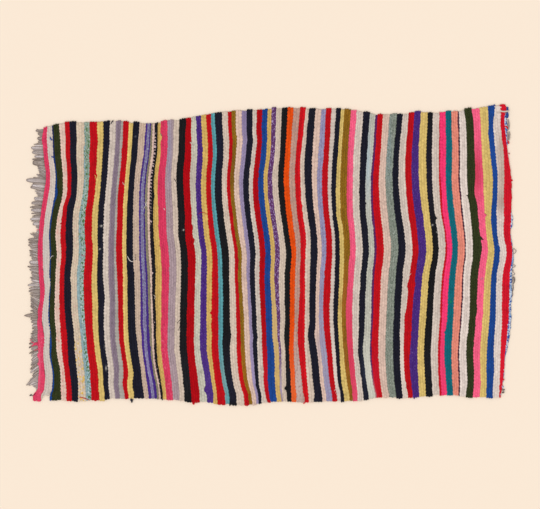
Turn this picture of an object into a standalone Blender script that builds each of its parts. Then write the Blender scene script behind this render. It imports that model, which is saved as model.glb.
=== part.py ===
"""Hand-woven rag rug, lying flat: the striped rag cloth, its loose warp fringe and a printed end rag.

Metres, +Z up. The underside lies on z = 0 and the origin is under the middle of the rug's box. The
stripes run along Y, from the foot at -Y to the head at +Y. The fringe is at the -X end.
Every size below is in millimetres.
"""

from collections import namedtuple

import bmesh
import bpy
import numpy as np

MM = 0.001
GAP = 0.3  # clearance between two pieces that touch

# Rag cloth: picks of torn rag beaten down over the warps, with one low rib for each stripe.
CROWN = 8.0  # height along the middle of a rib
VALLEY = 6.4  # height where two ribs meet
EDGE_HEIGHT = 4.2  # height at the edge, where the last turn of a rag rolls under
EDGE_ROLL = 5.0  # how far in from the head and the foot that roll reaches
TURN = 2.5  # how far a rib's rounded end stands out past the valleys beside it
UNEVEN = 3.0  # difference between the shortest and the longest rib's end
STRETCHES = 11  # lengths that each rib is bent in

# Places along the stripes, foot to head, where the lines below are measured.
STATIONS = np.array((-586, -554, -518, -398, -238, -78, 14, 162, 310, 402, 526), float)

# Lines that run with the stripes, from the fringe to the printed end: the ribs between a line and the
# next one, where the cloth ends at its head and at its foot, and its place across at each station.
Line = namedtuple("Line", "ribs head foot across")
LINES = (
    Line(7, 514, -584, (-944, -949, -928, -930, -930, -925, -929, -918, -897, -905, -906)),
    Line(8, 534, -581, (-767, -768, -768, -780, -793, -798, -788, -788, -770, -774, -775)),
    Line(11, 538, -573, (-580, -583, -590, -598, -608, -612, -614, -611, -601, -592, -586)),
    Line(6, 532, -577, (-413, -415, -418, -433, -435, -433, -437, -447, -448, -438, -438)),
    Line(7, 556, -588, (-254, -256, -258, -277, -279, -276, -276, -292, -296, -291, -296)),
    Line(8, 578, -600, (-82, -88, -101, -115, -120, -128, -128, -149, -159, -151, -153)),
    Line(6, 589, -584, (48, 46, 40, 37, 28, 17, 20, 2, -10, 1, 5)),
    Line(7, 590, -586, (155, 154, 150, 142, 140, 140, 142, 132, 122, 125, 137)),
    Line(7, 588, -583, (302, 297, 287, 276, 272, 278, 279, 268, 265, 271, 280)),
    Line(8, 564, -570, (429, 426, 418, 406, 412, 417, 426, 414, 412, 420, 428)),
    Line(5, 572, -562, (624, 624, 622, 616, 625, 637, 651, 638, 626, 625, 630)),
    Line(5, 576, -560, (733, 732, 730, 726, 734, 742, 752, 739, 727, 729, 726)),
    Line(3, 594, -567, (838, 839, 842, 840, 852, 860, 873, 859, 853, 848, 843)),
    Line(1, 602, -569, (917, 917, 918, 922, 928, 934, 949, 936, 937, 935, 924)),
    Line(0, 602, -570, (922, 924, 930, 940, 955, 962, 972, 964, 965, 952, 941)),
)

# Rag ends that stick out of the head (+1) or the foot (-1), or with a minus sign a torn notch.
Tuft = namedtuple("Tuft", "end across width out")
TUFTS = (
    Tuft(+1, -632, 26, 5),
    Tuft(+1, 897, 26, 6),
    Tuft(-1, -896, 34, -26),
    Tuft(-1, -554, 26, 5),
    Tuft(-1, -314, 34, 9),
    Tuft(-1, -150, 36, 4),
    Tuft(-1, -92, 26, 4),
)

# Fringe: one loose warp end for each strand, its root fused into a narrow strip along the cloth.
STRANDS = 150
FRINGE_FOOT = -566.0
FRINGE_HEAD = 508.0
STRIP_WIDTH = 4.0
YARN = 3.0  # width and height at the root
SHORTEST = 8.0
STEPS = (0.35, 0.7, 1.0)  # where along its length a strand bends
TAPER = (0.92, 0.8, 0.6)  # its thickness there, against the root's
SHORTER = (0.0, 7.0, 2.5, 5.0)  # how much sooner one strand ends than the next, over and over
CURL = 1.0  # sideways wave halfway along a strand

# Locks that the strands lie in, foot to head: where along the edge, where across its tips lie, and
# how far those tips lean towards the head.
Lock = namedtuple("Lock", "along tip lean")
LOCKS = (
    Lock(-562, -958, 0),
    Lock(-536, -946, -3),
    Lock(-520, -972, -9),
    Lock(-504, -960, -8),
    Lock(-484, -949, -8),
    Lock(-470, -960, -9),
    Lock(-440, -958, -8),
    Lock(-404, -956, -8),
    Lock(-372, -966, -8),
    Lock(-342, -961, -6),
    Lock(-306, -952, -2),
    Lock(-274, -951, 2),
    Lock(-241, -990, 0),
    Lock(-212, -950, 3),
    Lock(-180, -960, 2),
    Lock(-144, -966, -2),
    Lock(-112, -967, -3),
    Lock(-74, -954, 0),
    Lock(-46, -971, 4),
    Lock(-25, -963, 2),
    Lock(7, -965, -2),
    Lock(31, -958, -3),
    Lock(60, -968, 1),
    Lock(88, -957, 3),
    Lock(119, -940, 0),
    Lock(146, -960, -4),
    Lock(182, -956, -2),
    Lock(210, -956, 3),
    Lock(232, -943, 4),
    Lock(254, -939, 1),
    Lock(276, -958, -4),
    Lock(302, -976, -2),
    Lock(326, -936, 4),
    Lock(338, -925, 2),
    Lock(352, -929, -3),
    Lock(368, -950, -5),
    Lock(386, -952, -2),
    Lock(416, -951, 2),
    Lock(431, -955, 4),
    Lock(466, -929, 2),
    Lock(500, -937, -4),
    Lock(508, -926, -4),
)

# Printed end rag: a crumpled strip past the last stripe, its width outside that stripe's edge.
RAG_INNER_HEIGHT = 4.2
RAG_OUTER_HEIGHT = 2.6
Crumple = namedtuple("Crumple", "along width")
END_RAG = (
    Crumple(-562, 1.5),
    Crumple(-538, 12),
    Crumple(-514, 1.5),
    Crumple(-406, 1.5),
    Crumple(-370, 7),
    Crumple(-350, 8),
    Crumple(-334, 12),
    Crumple(-310, 10),
    Crumple(-258, 11),
    Crumple(-238, 8),
    Crumple(-202, 8),
    Crumple(-174, 17),
    Crumple(-126, 17),
    Crumple(-114, 20),
    Crumple(-86, 20),
    Crumple(-74, 15),
    Crumple(-38, 15),
    Crumple(-10, 5),
    Crumple(10, 10),
    Crumple(34, 10),
    Crumple(50, 1.5),
    Crumple(102, 1.5),
    Crumple(118, 10),
    Crumple(150, 10),
    Crumple(170, 1.5),
    Crumple(438, 1.5),
    Crumple(454, 8),
    Crumple(482, 17),
    Crumple(518, 13),
    Crumple(550, 13),
    Crumple(574, 9),
)


def clear_scene():
    """Empty the scene of the objects that it starts with."""
    for obj in list(bpy.data.objects):
        bpy.data.objects.remove(obj, do_unlink=True)


def material(name, colour, roughness):
    """A matt textile surface of one colour."""
    made = bpy.data.materials.new(name)
    made.use_nodes = True
    shader = made.node_tree.nodes["Principled BSDF"]
    shader.inputs["Base Color"].default_value = (*colour, 1.0)
    shader.inputs["Roughness"].default_value = roughness
    shader.inputs["Metallic"].default_value = 0.0
    return made


def add_object(name, bm, surface):
    """Turn the closed bmesh into the named object, in metres."""
    bmesh.ops.recalc_face_normals(bm, faces=bm.faces)
    bmesh.ops.scale(bm, vec=(MM, MM, MM), verts=bm.verts)
    mesh = bpy.data.meshes.new(name)
    bm.to_mesh(mesh)
    bm.free()
    mesh.materials.append(surface)
    obj = bpy.data.objects.new(name, mesh)
    bpy.context.scene.collection.objects.link(obj)
    return obj


def grid_sheet(x, y, z):
    """A bmesh sheet whose corners lie at the (column, row) arrays x, y and z."""
    columns, rows = x.shape
    bm = bmesh.new()
    bmesh.ops.create_grid(bm, x_segments=rows - 1, y_segments=columns - 1, size=1.0)
    bm.verts.ensure_lookup_table()
    for vert, place in zip(bm.verts, np.stack((x, y, z), axis=-1).reshape(-1, 3)):
        vert.co = place
    return bm


def close_below(bm):
    """Drop the sheet's rim to z = 0 and fill it with one flat face, the underside."""
    rim = [edge for edge in bm.edges if edge.is_boundary]
    walls = bmesh.ops.extrude_edge_only(bm, edges=rim)["geom"]
    lowered = [item for item in walls if isinstance(item, bmesh.types.BMVert)]
    for vert in lowered:
        vert.co.z = 0.0
    bmesh.ops.contextual_create(bm, geom=[edge for edge in bm.edges if edge.is_boundary])


def rib_columns():
    """Columns of the cloth, counted in lines: each rib has its valley and then its crown."""
    ribs = [
        index + np.arange(2 * line.ribs) / (2 * line.ribs)
        for index, line in enumerate(LINES[:-1])
    ]
    return np.append(np.concatenate(ribs), len(LINES) - 1)


def between_lines(columns, values):
    """Each column's share of a value that is known on every line."""
    return np.interp(columns, np.arange(len(LINES)), values)


def place_across(columns, along):
    """X of each (column, row) at its distance along the stripes.

    A cubic joins the measured stations, with the slope at each taken from its neighbours, and it
    runs on straight past the first and the last one.
    """
    measured = np.array([line.across for line in LINES], float).T
    values = np.array([between_lines(columns, station) for station in measured])
    slopes = np.gradient(values, STATIONS, axis=0)
    inside = np.clip(along, STATIONS[0], STATIONS[-1])
    first = np.clip(np.searchsorted(STATIONS, inside) - 1, 0, len(STATIONS) - 2)
    length = STATIONS[first + 1] - STATIONS[first]
    part = (inside - STATIONS[first]) / length
    column = np.arange(len(columns))[:, None]
    start, end = values[first, column], values[first + 1, column]
    leave, arrive = slopes[first, column] * length, slopes[first + 1, column] * length
    curve = (
        (2 * part**3 - 3 * part**2 + 1) * start
        + (part**3 - 2 * part**2 + part) * leave
        + (3 * part**2 - 2 * part**3) * end
        + (part**3 - part**2) * arrive
    )
    past = np.where(along > inside, slopes[-1, column], slopes[0, column])
    return curve + (along - inside) * past


def cloth_end(columns, crown, end, draw):
    """Y at which each column ends: the lines' end, drawn in at valleys and uneven, with its tufts."""
    known = [line.head if end > 0 else line.foot for line in LINES]
    reach = between_lines(columns, known)
    longer = np.repeat(draw.uniform(-UNEVEN / 2, UNEVEN / 2, len(columns) // 2 + 1), 2)[: len(columns)]
    longer[[0, -1]] = 0.0
    reach = reach + end * (longer + TURN * (crown - 0.5))
    across = place_across(columns, reach[:, None])[:, 0]
    for tuft in TUFTS:
        if tuft.end == end:
            near = np.clip(1.0 - np.abs(across - tuft.across) / (tuft.width / 2), 0.0, 1.0)
            reach = reach + end * tuft.out * near
    return reach


def cloth_grid():
    """X, Y and Z of the cloth's upper side, as (column, row) arrays."""
    columns = rib_columns()
    crown = np.arange(len(columns)) % 2 == 1
    draw = np.random.default_rng(11)
    foot = cloth_end(columns, crown, -1, draw)[:, None]
    head = cloth_end(columns, crown, +1, draw)[:, None]
    share = np.linspace(0.0, 1.0, STRETCHES + 1)
    inner = foot + EDGE_ROLL + (head - foot - 2 * EDGE_ROLL) * share
    y = np.hstack((foot, inner, head))
    x = place_across(columns, y)
    z = np.where(crown[:, None], CROWN, VALLEY) * np.ones_like(y)
    z[:, [0, -1]] = EDGE_HEIGHT
    z[[0, -1], :] = EDGE_HEIGHT
    return x, y, z


def build_cloth(x, y, z):
    """The woven body: a ribbed upper side, low walls round it and a flat underside."""
    bm = grid_sheet(x, y, z)
    close_below(bm)
    return add_object("rug_cloth", bm, material("rag_weave", (0.32, 0.17, 0.15), 0.95))


def strand_shape(along, edge):
    """Each strand's places: its root, and where its tip lies across and along."""
    lock_along = [lock.along for lock in LOCKS]
    tip = np.interp(along, lock_along, [lock.tip for lock in LOCKS])
    tip = tip + np.resize(SHORTER, len(along))
    root = edge - GAP - STRIP_WIDTH
    lean = np.interp(along, lock_along, [lock.lean for lock in LOCKS])
    return root, np.minimum(tip, root - SHORTEST), lean


def build_fringe(edge_x, edge_y):
    """The strip along the cloth's fringed end, and a four-sided strand out of it for each warp."""
    along = np.linspace(FRINGE_FOOT, FRINGE_HEAD, STRANDS)
    root, tip, lean = strand_shape(along, np.interp(along, edge_y, edge_x))
    sides = np.stack((along - YARN / 2, along + YARN / 2), axis=1).ravel()
    inner = np.interp(sides, edge_y, edge_x) - GAP
    x = np.stack((inner - STRIP_WIDTH, inner))
    y = np.stack((sides, sides))
    bm = grid_sheet(x, y, np.full_like(x, YARN))
    close_below(bm)
    bm.faces.ensure_lookup_table()
    outer = [
        face
        for face in bm.faces
        if len(face.verts) == 4
        and all(vert.co.x < np.interp(vert.co.y, edge_y, edge_x) - STRIP_WIDTH for vert in face.verts)
    ]
    outer.sort(key=lambda face: face.calc_center_median().y)
    ends = outer[::2]
    for step, taper in zip(STEPS, TAPER):
        ends = bmesh.ops.extrude_discrete_faces(bm, faces=ends)["faces"]
        ends.sort(key=lambda face: face.calc_center_median().y)
        for index, face in enumerate(ends):
            middle = face.calc_center_median().y
            bend = CURL * (-1) ** (index // 2) * 4 * step * (1 - step)
            centre = along[index] + lean[index] * step**1.5 + bend
            for vert in face.verts:
                side = 0.5 if vert.co.y > middle else -0.5
                height = YARN * taper if vert.co.z > YARN * 0.3 else 0.0
                reach = root[index] + (tip[index] - root[index]) * step
                vert.co = (reach, centre + side * YARN * taper, height)
    return add_object("warp_fringe", bm, material("warp_yarn", (0.38, 0.31, 0.27), 0.9))


def build_end_rag(edge_x, edge_y):
    """The printed rag: a low strip that follows the cloth's other end, as wide as it shows there."""
    known = [crumple.along for crumple in END_RAG]
    rows = np.union1d(known, edge_y[(edge_y > known[0]) & (edge_y < known[-1])])
    inner = np.interp(rows, edge_y, edge_x) + GAP
    width = np.interp(rows, known, [crumple.width for crumple in END_RAG])
    x = np.stack((inner, inner + width))
    y = np.stack((rows, rows))
    z = np.stack((np.full_like(rows, RAG_INNER_HEIGHT), np.full_like(rows, RAG_OUTER_HEIGHT)))
    bm = grid_sheet(x, y, z)
    close_below(bm)
    return add_object("end_rag", bm, material("printed_rag", (0.30, 0.43, 0.46), 0.95))


def main():
    clear_scene()
    x, y, z = cloth_grid()
    build_cloth(x, y, z)
    build_fringe(x[0], y[0])
    build_end_rag(x[-1], y[-1])


main()
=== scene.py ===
"""Looks of the hand-woven rag rug, seen from straight above on a pale floor.

X runs along the rug, across its stripes, Y along the stripes from foot to head, and Z up. Sizes are
in millimetres until a mesh is made, and colours are plain 0 to 255 screen values.
"""

from collections import namedtuple

import bpy
import numpy as np
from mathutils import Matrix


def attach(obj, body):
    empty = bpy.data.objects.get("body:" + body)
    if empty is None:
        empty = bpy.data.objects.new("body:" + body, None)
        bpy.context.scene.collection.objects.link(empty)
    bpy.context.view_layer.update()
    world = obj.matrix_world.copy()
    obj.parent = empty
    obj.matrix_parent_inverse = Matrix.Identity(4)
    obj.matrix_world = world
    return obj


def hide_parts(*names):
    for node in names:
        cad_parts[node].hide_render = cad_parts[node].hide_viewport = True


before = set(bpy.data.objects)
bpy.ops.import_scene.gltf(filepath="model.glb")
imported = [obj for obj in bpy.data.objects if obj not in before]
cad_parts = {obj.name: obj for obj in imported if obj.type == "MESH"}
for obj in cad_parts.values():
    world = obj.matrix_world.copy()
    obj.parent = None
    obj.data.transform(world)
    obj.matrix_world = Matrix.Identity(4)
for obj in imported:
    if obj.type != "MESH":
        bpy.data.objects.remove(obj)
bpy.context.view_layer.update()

# --- The loom's plan ---------------------------------------------------------------------------
# Rag strips are beaten down across the warps, a few picks to a stripe. The stripes keep their order
# but wander sideways, so the plan holds the lines between bands of stripes where they were beaten.

# Y of the stations at which the lines between the bands are given.
STATIONS = np.array((-554, -518, -458, -398, -238, -158, -78, 14, 82, 162, 250, 310, 402, 526), float)
FOOT, MIDDLE, HEAD = -554.0, 14.0, 526.0  # where the widths of the stripes are given
PICK = 8.8  # width that one pick of rag is beaten down to

# A band has the Y of its head and foot, the X of its left line at the stations, and its stripes from
# left to right. A stripe has its cloth, its share of the band's width at head, middle and foot, and
# how far its own ends lie past the band's.
Band = namedtuple("Band", "head foot left stripes")
Stripe = namedtuple("Stripe", "cloth head middle foot past_head past_foot", defaults=(0, 0))

BANDS = tuple(
    Band(head, foot, left, [Stripe(*stripe) for stripe in stripes])
    for head, foot, left, *stripes in (
        (514, -584, (-930, -928, -925, -926, -929, -920, -924, -929, -925, -917, -904, -896, -905, -906),
         ("rose", 16, 20, 25, -3), ("cream", 19, 28, 34, 0, -22), ("thread blue", 5, 6, 6.5),
         ("olive", 26, 23, 34, 5, 3)),
        (528, -578, (-836, -837, -840, -852, -862, -861, -858, -853, -858, -849, -829, -829, -836, -843),
         ("flecked pink", 22, 18, 22, 0, 5), ("red", 18, 19, 22, 6, 5), ("navy", 27, 28, 24, 5, 4)),
        (534, -581, (-768, -768, -773, -780, -793, -798, -798, -788, -789, -788, -773, -770, -774, -775),
         ("spotted beige", 32, 24, 31, -2, 2), ("pale blue", 3, 11, 9),
         ("leaf print", 19, 15, 13, 0, 2), ("red", 30, 30, 32, 2, 2)),
        (536, -580, (-683, -686, -690, -698, -712, -714, -713, -708, -713, -712, -701, -696, -692, -691),
         ("yellow", 24, 20, 20, 0, 2), ("navy", 27, 22, 20, 4, -2), ("cream", 25, 22, 21),
         ("mauve", 19, 23, 19), ("grey green", 10, 8, 18, 0, -4)),
        (538, -573, (-583, -590, -590, -598, -608, -610, -612, -616, -616, -613, -608, -603, -594, -587),
         ("red", 22, 25, 16, 5, 2), ("yellow", 17, 16, 22, -7, -1), ("navy", 25, 26, 40, 3),
         ("tan", 26, 25, 19)),
        (529, -572, (-486, -491, -498, -507, -516, -518, -519, -523, -523, -524, -523, -519, -506, -496),
         ("violet", 6, 6, 11), ("faded violet", 11, 14, 12), ("deep violet", 4, 6, 10),
         ("sage", 7, 11, 7), ("pale pink", 9, 9, 6.5), ("dashed black", 7, 9, 4), ("black", 6, 6, 4),
         ("deep yellow", 11, 25, 14)),
        (532, -577, (-415, -418, -425, -433, -435, -434, -433, -437, -444, -447, -449, -448, -438, -438),
         ("rose", 28, 32, 27, 6), ("light mauve", 24, 28, 26, 2, -3), ("warm cream", 22, 19, 20, 0, -3),
         ("black", 26, 28, 28.5, 2, 1)),
        (548, -588, (-315, -318, -324, -330, -332, -330, -328, -330, -339, -340, -345, -347, -340, -338),
         ("deep red", 22, 31, 33, 3, 2), ("grey cream", 22, 23, 29, 3, -2)),
        (556, -588, (-253, -258, -267, -277, -279, -278, -276, -276, -286, -292, -296, -296, -291, -296),
         ("purple", 20, 22, 25, 3), ("deep yellow", 20, 21, 16, 2, 4), ("red", 18, 22, 32, 0, 4),
         ("teal", 14, 17, 17, 3, -3)),
        (570, -596, (-164, -172, -182, -188, -188, -188, -190, -194, -203, -213, -220, -220, -213, -220),
         ("black", 30, 29, 28, 2, 4), ("warm cream", 24, 23, 29), ("red", 15, 14, 18, 0, 4)),
        (578, -600, (-88, -101, -111, -115, -120, -124, -128, -128, -139, -149, -158, -159, -151, -153),
         ("mustard", 16, 14, 14), ("pale pink", 23, 20, 17), ("lavender", 19, 14, 10, -2),
         ("navy", 23, 22, 12), ("cream", 16, 17, 18, -2)),
        (584, -589, (-18, -24, -26, -30, -36, -40, -43, -41, -48, -60, -68, -68, -58, -54),
         ("deep red", 21, 22, 16), ("blue", 22, 22, 30, 0, -4), ("deep yellow", 16, 16, 19, 0, 1)),
        (589, -584, (46, 40, 37, 37, 28, 21, 17, 20, 14, 2, -8, -10, 1, 5),
         ("purple marl", 17, 20, 7, 6), ("warm cream", 21, 24, 16, -2), ("black", 22, 22, 17, 3, -2)),
        (589, -587, (86, 84, 81, 78, 80, 80, 81, 86, 77, 66, 58, 55, 61, 68),
         ("orange", 22, 19, 18.5, 2, 1), ("dusty pink", 25, 18, 27.5, 2), ("scarlet", 22, 20, 22, 7, 3)),
        (590, -586, (154, 150, 145, 142, 140, 140, 140, 142, 143, 132, 124, 122, 125, 137),
         ("warm cream", 14, 20, 24, -6, 1), ("navy", 28, 28, 31, 0, 5), ("pale pink", 24, 16, 16, 0, 2),
         ("lavender blue", 20, 18, 24, -5, 4)),
        (589, -584, (248, 240, 233, 228, 213, 214, 218, 225, 224, 215, 209, 208, 214, 221),
         ("red", 21, 24, 20, 2, 2), ("cream", 17, 12, 14), ("navy", 19, 18, 14, 3, 6)),
        (588, -583, (295, 288, 282, 279, 272, 275, 278, 279, 277, 268, 264, 265, 271, 280),
         ("yellow", 14, 18, 23, 0, -2), ("brown mustard", 26, 23, 12, 0, 2), ("pink", 23, 23, 19, 4, 7)),
        (580, -580, (350, 346, 339, 334, 329, 331, 336, 343, 341, 333, 331, 332, 334, 343),
         ("cream", 28, 29, 25, 0, 3), ("navy", 27, 26, 22, 5, 4), ("pale green", 24, 23, 29),
         ("plum", 8.5, 9, 5.5)),
        (564, -570, (426, 418, 410, 406, 412, 414, 417, 426, 422, 414, 411, 412, 420, 428),
         ("red", 22, 29, 22, 2), ("pale pink", 26, 29, 27, -2, 2), ("sage mottle", 30, 29, 29, 2),
         ("navy", 23, 28, 26, 4, 5)),
        (568, -568, (530, 526, 522, 520, 522, 526, 532, 542, 538, 526, 517, 514, 516, 528),
         ("cream", 24, 28, 22, 0, 2), ("red", 23, 24, 19, 5, 6), ("purple", 25, 31, 25.5, 11, 2),
         ("yellow", 30, 26, 27, 4)),
        (572, -562, (624, 622, 618, 616, 625, 630, 637, 651, 648, 638, 630, 626, 625, 630),
         ("black", 22, 24, 27, 6, 2), ("cream", 28, 28, 27, -6)),
        (574, -559, (678, 676, 673, 672, 680, 683, 689, 702, 699, 686, 678, 676, 676, 677),
         ("dark red", 3.5, 7, 8.5), ("hot pink", 24, 20, 21.5, 3, -2), ("dark teal", 25, 24, 24, 3)),
        (576, -560, (732, 730, 727, 726, 734, 737, 742, 752, 749, 739, 730, 727, 729, 726),
         ("salmon", 26, 28, 23, -2), ("thread navy", 6, 5, 5), ("pale cream", 28, 29, 26, -2)),
        (586, -564, (784, 789, 788, 785, 798, 799, 802, 812, 809, 802, 793, 788, 788, 785),
         ("olive", 29, 33, 27, 5, 7), ("pink", 28, 28, 27, -4)),
        (594, -567, (839, 842, 842, 840, 852, 855, 860, 873, 866, 859, 855, 853, 848, 843),
         ("yellow", 30, 25, 26)),
        (598, -568, (865, 866, 866, 867, 879, 882, 886, 898, 890, 884, 890, 892, 882, 875),
         ("blue", 19, 24, 26, 3, 4), ("pale cream", 33, 27, 26)),
        (601, -569, (917, 918, 920, 922, 928, 928, 931, 946, 935, 936, 936, 937, 935, 921),
         ("crimson", 22, 23, 7)),
        (601, -570, (924, 930, 936, 940, 955, 957, 959, 969, 962, 964, 966, 965, 952, 938)),
    )
)
FLARE_START, FLARE_FULL, FLARE_REACH = -534.0, -562.0, -18.0  # the first rag spreads at its foot
FOOT_SLOPE = 0.3  # how much of its slope a line keeps below the last place where it was read

# Places where one stripe pushes into the next: the left edge of this cloth bulges by reach at along,
# over a length. The last line has no cloth past it, so there the right side of the rug bulges.
Jog = namedtuple("Jog", "band cloth along reach length")
JOGS = tuple(
    Jog(band, cloth, *jog)
    for band, cloth, *jogs in (
        (0, "rose", (-400, -5, 8), (-434, -5, 6), (462, -5, 24)),
        (0, "cream", (-480, 5, 46), (-318, 8, 46), (470, -3, 24), (-560, 4, 20), (-130, 4, 40)),
        (0, "thread blue", (-318, 7, 46), (-500, 4, 50), (-122, 3.5, 24)),
        (0, "olive", (-318, 6, 46), (246, 5, 26), (-500, 4, 50), (-122, 2, 24), (-350, 3, 40)),
        (1, "flecked pink", (-318, 4, 46)),
        (1, "red", (150, -3, 4), (202, -4, 24), (-460, -4, 60)),
        (1, "navy", (202, -4, 24), (-460, -5, 60)),
        (2, "spotted beige", (-140, 4, 40)),
        (3, "yellow", (318, 4, 5)),
        (3, "cream", (-150, 4, 40)),
        (4, "yellow", (-470, 3, 30)),
        (4, "navy", (-470, 4, 30)),
        (5, "violet", (-405, -2, 80)),
        (5, "faded violet", (-405, -3, 80)),
        (5, "deep violet", (-375, -3, 80)),
        (5, "pale pink", (-420, -2, 60)),
        (5, "dashed black", (-150, -2.5, 60), (-420, -2, 60)),
        (5, "black", (-150, -2.5, 60), (-420, -2, 60)),
        (5, "deep yellow", (238, 4, 36), (-150, -3, 60), (-420, -1, 60)),
        (6, "rose", (478, 5, 10)),
        (7, "grey cream", (62, 6, 8), (115, 3, 12)),
        (8, "purple", (-540, -10, 13)),
        (8, "red", (-230, -7, 4)),
        (9, "warm cream", (-318, 5, 30)),
        (11, "deep red", (-585, 6, 14)),
        (11, "blue", (-585, 5, 14)),
        (11, "deep yellow", (-318, -4, 40)),
        (12, "purple marl", (-318, -5, 40)),
        (12, "warm cream", (-318, -5, 40)),
        (12, "black", (-530, -6, 8), (-318, -4, 40)),
        (13, "scarlet", (-310, -8, 110), (-575, 5, 20)),
        (14, "navy", (-318, -6, 40), (-584, -5, 14)),
        (14, "pale pink", (-318, -5, 40)),
        (16, "brown mustard", (-310, -5, 200)),
        (16, "pink", (-240, -5, 150)),
        (17, "navy", (-370, -3, 50)),
        (17, "pale green", (207, 5, 3), (-370, -4, 50)),
        (19, "red", (-360, -8, 130), (-118, -6, 16), (-470, -5, 60), (-250, -5, 40)),
        (19, "purple", (-118, 4, 16), (-440, -5, 80)),
        (20, "cream", (150, 6, 7)),
        (21, "hot pink", (250, 4, 50)),
        (21, "dark teal", (-307, -5, 4), (-318, -3, 24), (-380, -4, 90)),
        (23, "olive", (238, -4, 7), (600, -8, 44)),
        (23, "pink", (68, 9, 4), (30, 4, 30), (600, -7, 50), (262, -4, 40)),
        (24, "yellow", (162, 9, 5), (610, -5, 50)),
        (25, "blue", (482, -3.5, 30)),
        (25, "pale cream", (606, 17, 50), (-450, 3.5, 40)),
        (26, "crimson", (600, 13, 40)),
        (27, "floor", (592, 14, 34)),
    )
    for jog in jogs
)

# Places where several stripes together were beaten aside by reach, a few millimetres at most.
Push = namedtuple("Push", "x y across along reach")
PUSHES = tuple(Push(*row) for row in (
    (-790, -320, 50, 60, 3.5), (-730, 462, 90, 25, 3), (-660, 126, 60, 70, 4), (-670, -190, 55, 65, 5),
    (-590, -434, 55, 70, 4.5), (-520, -266, 25, 45, -3.5), (-460, -450, 30, 45, -3),
    (-385, 370, 40, 80, -3.5), (-340, 530, 50, 22, 3), (-565, 290, 30, 110, 2.5),
    (-400, -330, 25, 220, -2.5), (-390, -378, 40, 20, -3), (-240, -430, 25, 120, 3),
    (-240, -322, 25, 25, 3), (-90, 462, 75, 25, 4), (175, -350, 50, 60, -3.5), (0, -280, 25, 70, -2.5),
    (40, -550, 40, 28, -4), (140, 375, 35, 45, -3), (200, 85, 25, 35, -2.5), (280, 165, 25, 30, -2.5),
    (320, -42, 20, 25, -2.5), (440, -420, 30, 120, 2.5), (440, 140, 45, 90, 2), (520, -40, 35, 40, -2.5),
    (600, 155, 20, 30, 5), (765, -160, 30, 50, 2.5), (820, 245, 25, 30, -4), (830, -266, 30, 20, -3),
    (865, -25, 30, 35, -2.5), (-60, -322, 30, 18, 3),
))

Pick = namedtuple("Pick", "band left right cloth turn past_head past_foot")


def plan_picks():
    """One record for each pick: how far across its band it starts and ends, at foot, middle and head."""
    planned = []
    for number, band in enumerate(BANDS[:-1]):
        widths = np.array([(s.foot, s.middle, s.head) for s in band.stripes], float)
        reach = np.vstack((np.zeros(3), np.cumsum(widths, axis=0))) / widths.sum(axis=0)
        for stripe, start, end in zip(band.stripes, reach[:-1], reach[1:]):
            count = max(1, round(stripe.middle / PICK))
            cuts = [start + (end - start) * turn / count for turn in range(count + 1)]
            for turn in range(count):
                off_middle = abs(2 * (turn + 0.5) / count - 1)
                planned.append(Pick(number, cuts[turn], cuts[turn + 1], stripe.cloth, off_middle,
                                    stripe.past_head, stripe.past_foot))
    return planned


PICKS = plan_picks()
LINES = np.array([band.left for band in BANDS], float)
SLOPES = np.gradient(LINES, STATIONS, axis=1)


def line_place(line, y):
    """X of the numbered line at y: a cubic through its stations that leaves the last ones straight.

    The first line also swings out by FLARE_REACH below FLARE_START.
    """
    inside = np.clip(y, STATIONS[0], STATIONS[-1])
    first = np.clip(np.searchsorted(STATIONS, inside) - 1, 0, len(STATIONS) - 2)
    length = STATIONS[first + 1] - STATIONS[first]
    part = (inside - STATIONS[first]) / length
    start, end = LINES[line, first], LINES[line, first + 1]
    leave, arrive = SLOPES[line, first] * length, SLOPES[line, first + 1] * length
    curve = (
        (2 * part**3 - 3 * part**2 + 1) * start
        + (part**3 - 2 * part**2 + part) * leave
        + (3 * part**2 - 2 * part**3) * end
        + (part**3 - part**2) * arrive
    )
    past = (y - inside) * np.where(y > inside, SLOPES[line, -1], FOOT_SLOPE * SLOPES[line, 0]) * (line > 0)
    swing = np.clip((FLARE_START - y) / (FLARE_START - FLARE_FULL), 0.0, 1.0)
    return curve + past + (line == 0) * FLARE_REACH * swing**2 * (3 - 2 * swing)


def pushed(x, y):
    """X once every push has added reach * exp(-((x - push x) / across)^2 - ((y - push y) / along)^2)."""
    return x + sum(
        push.reach * np.exp(-(((x - push.x) / push.across) ** 2) - ((y - push.y) / push.along) ** 2)
        for push in PUSHES
    )


def cut_place(band, cut, y):
    """X at y of a line inside its band; cut holds the share of the band to its left at three heights."""
    low = np.clip((MIDDLE - y) / (MIDDLE - FOOT), 0.0, 1.0)
    high = np.clip((y - MIDDLE) / (HEAD - MIDDLE), 0.0, 1.0)
    share = low * cut[..., 0] + (1.0 - low - high) * cut[..., 1] + high * cut[..., 2]
    left = line_place(band, y)
    return pushed(left + (line_place(band + 1, y) - left) * share, y)


# --- The woven body ----------------------------------------------------------------------------
# Each pick of rag goes over one warp and under the next, and its neighbours do the opposite. The rag
# swells where it lies on top and is pinched where it dives, and it rounds off at head and foot.

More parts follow.
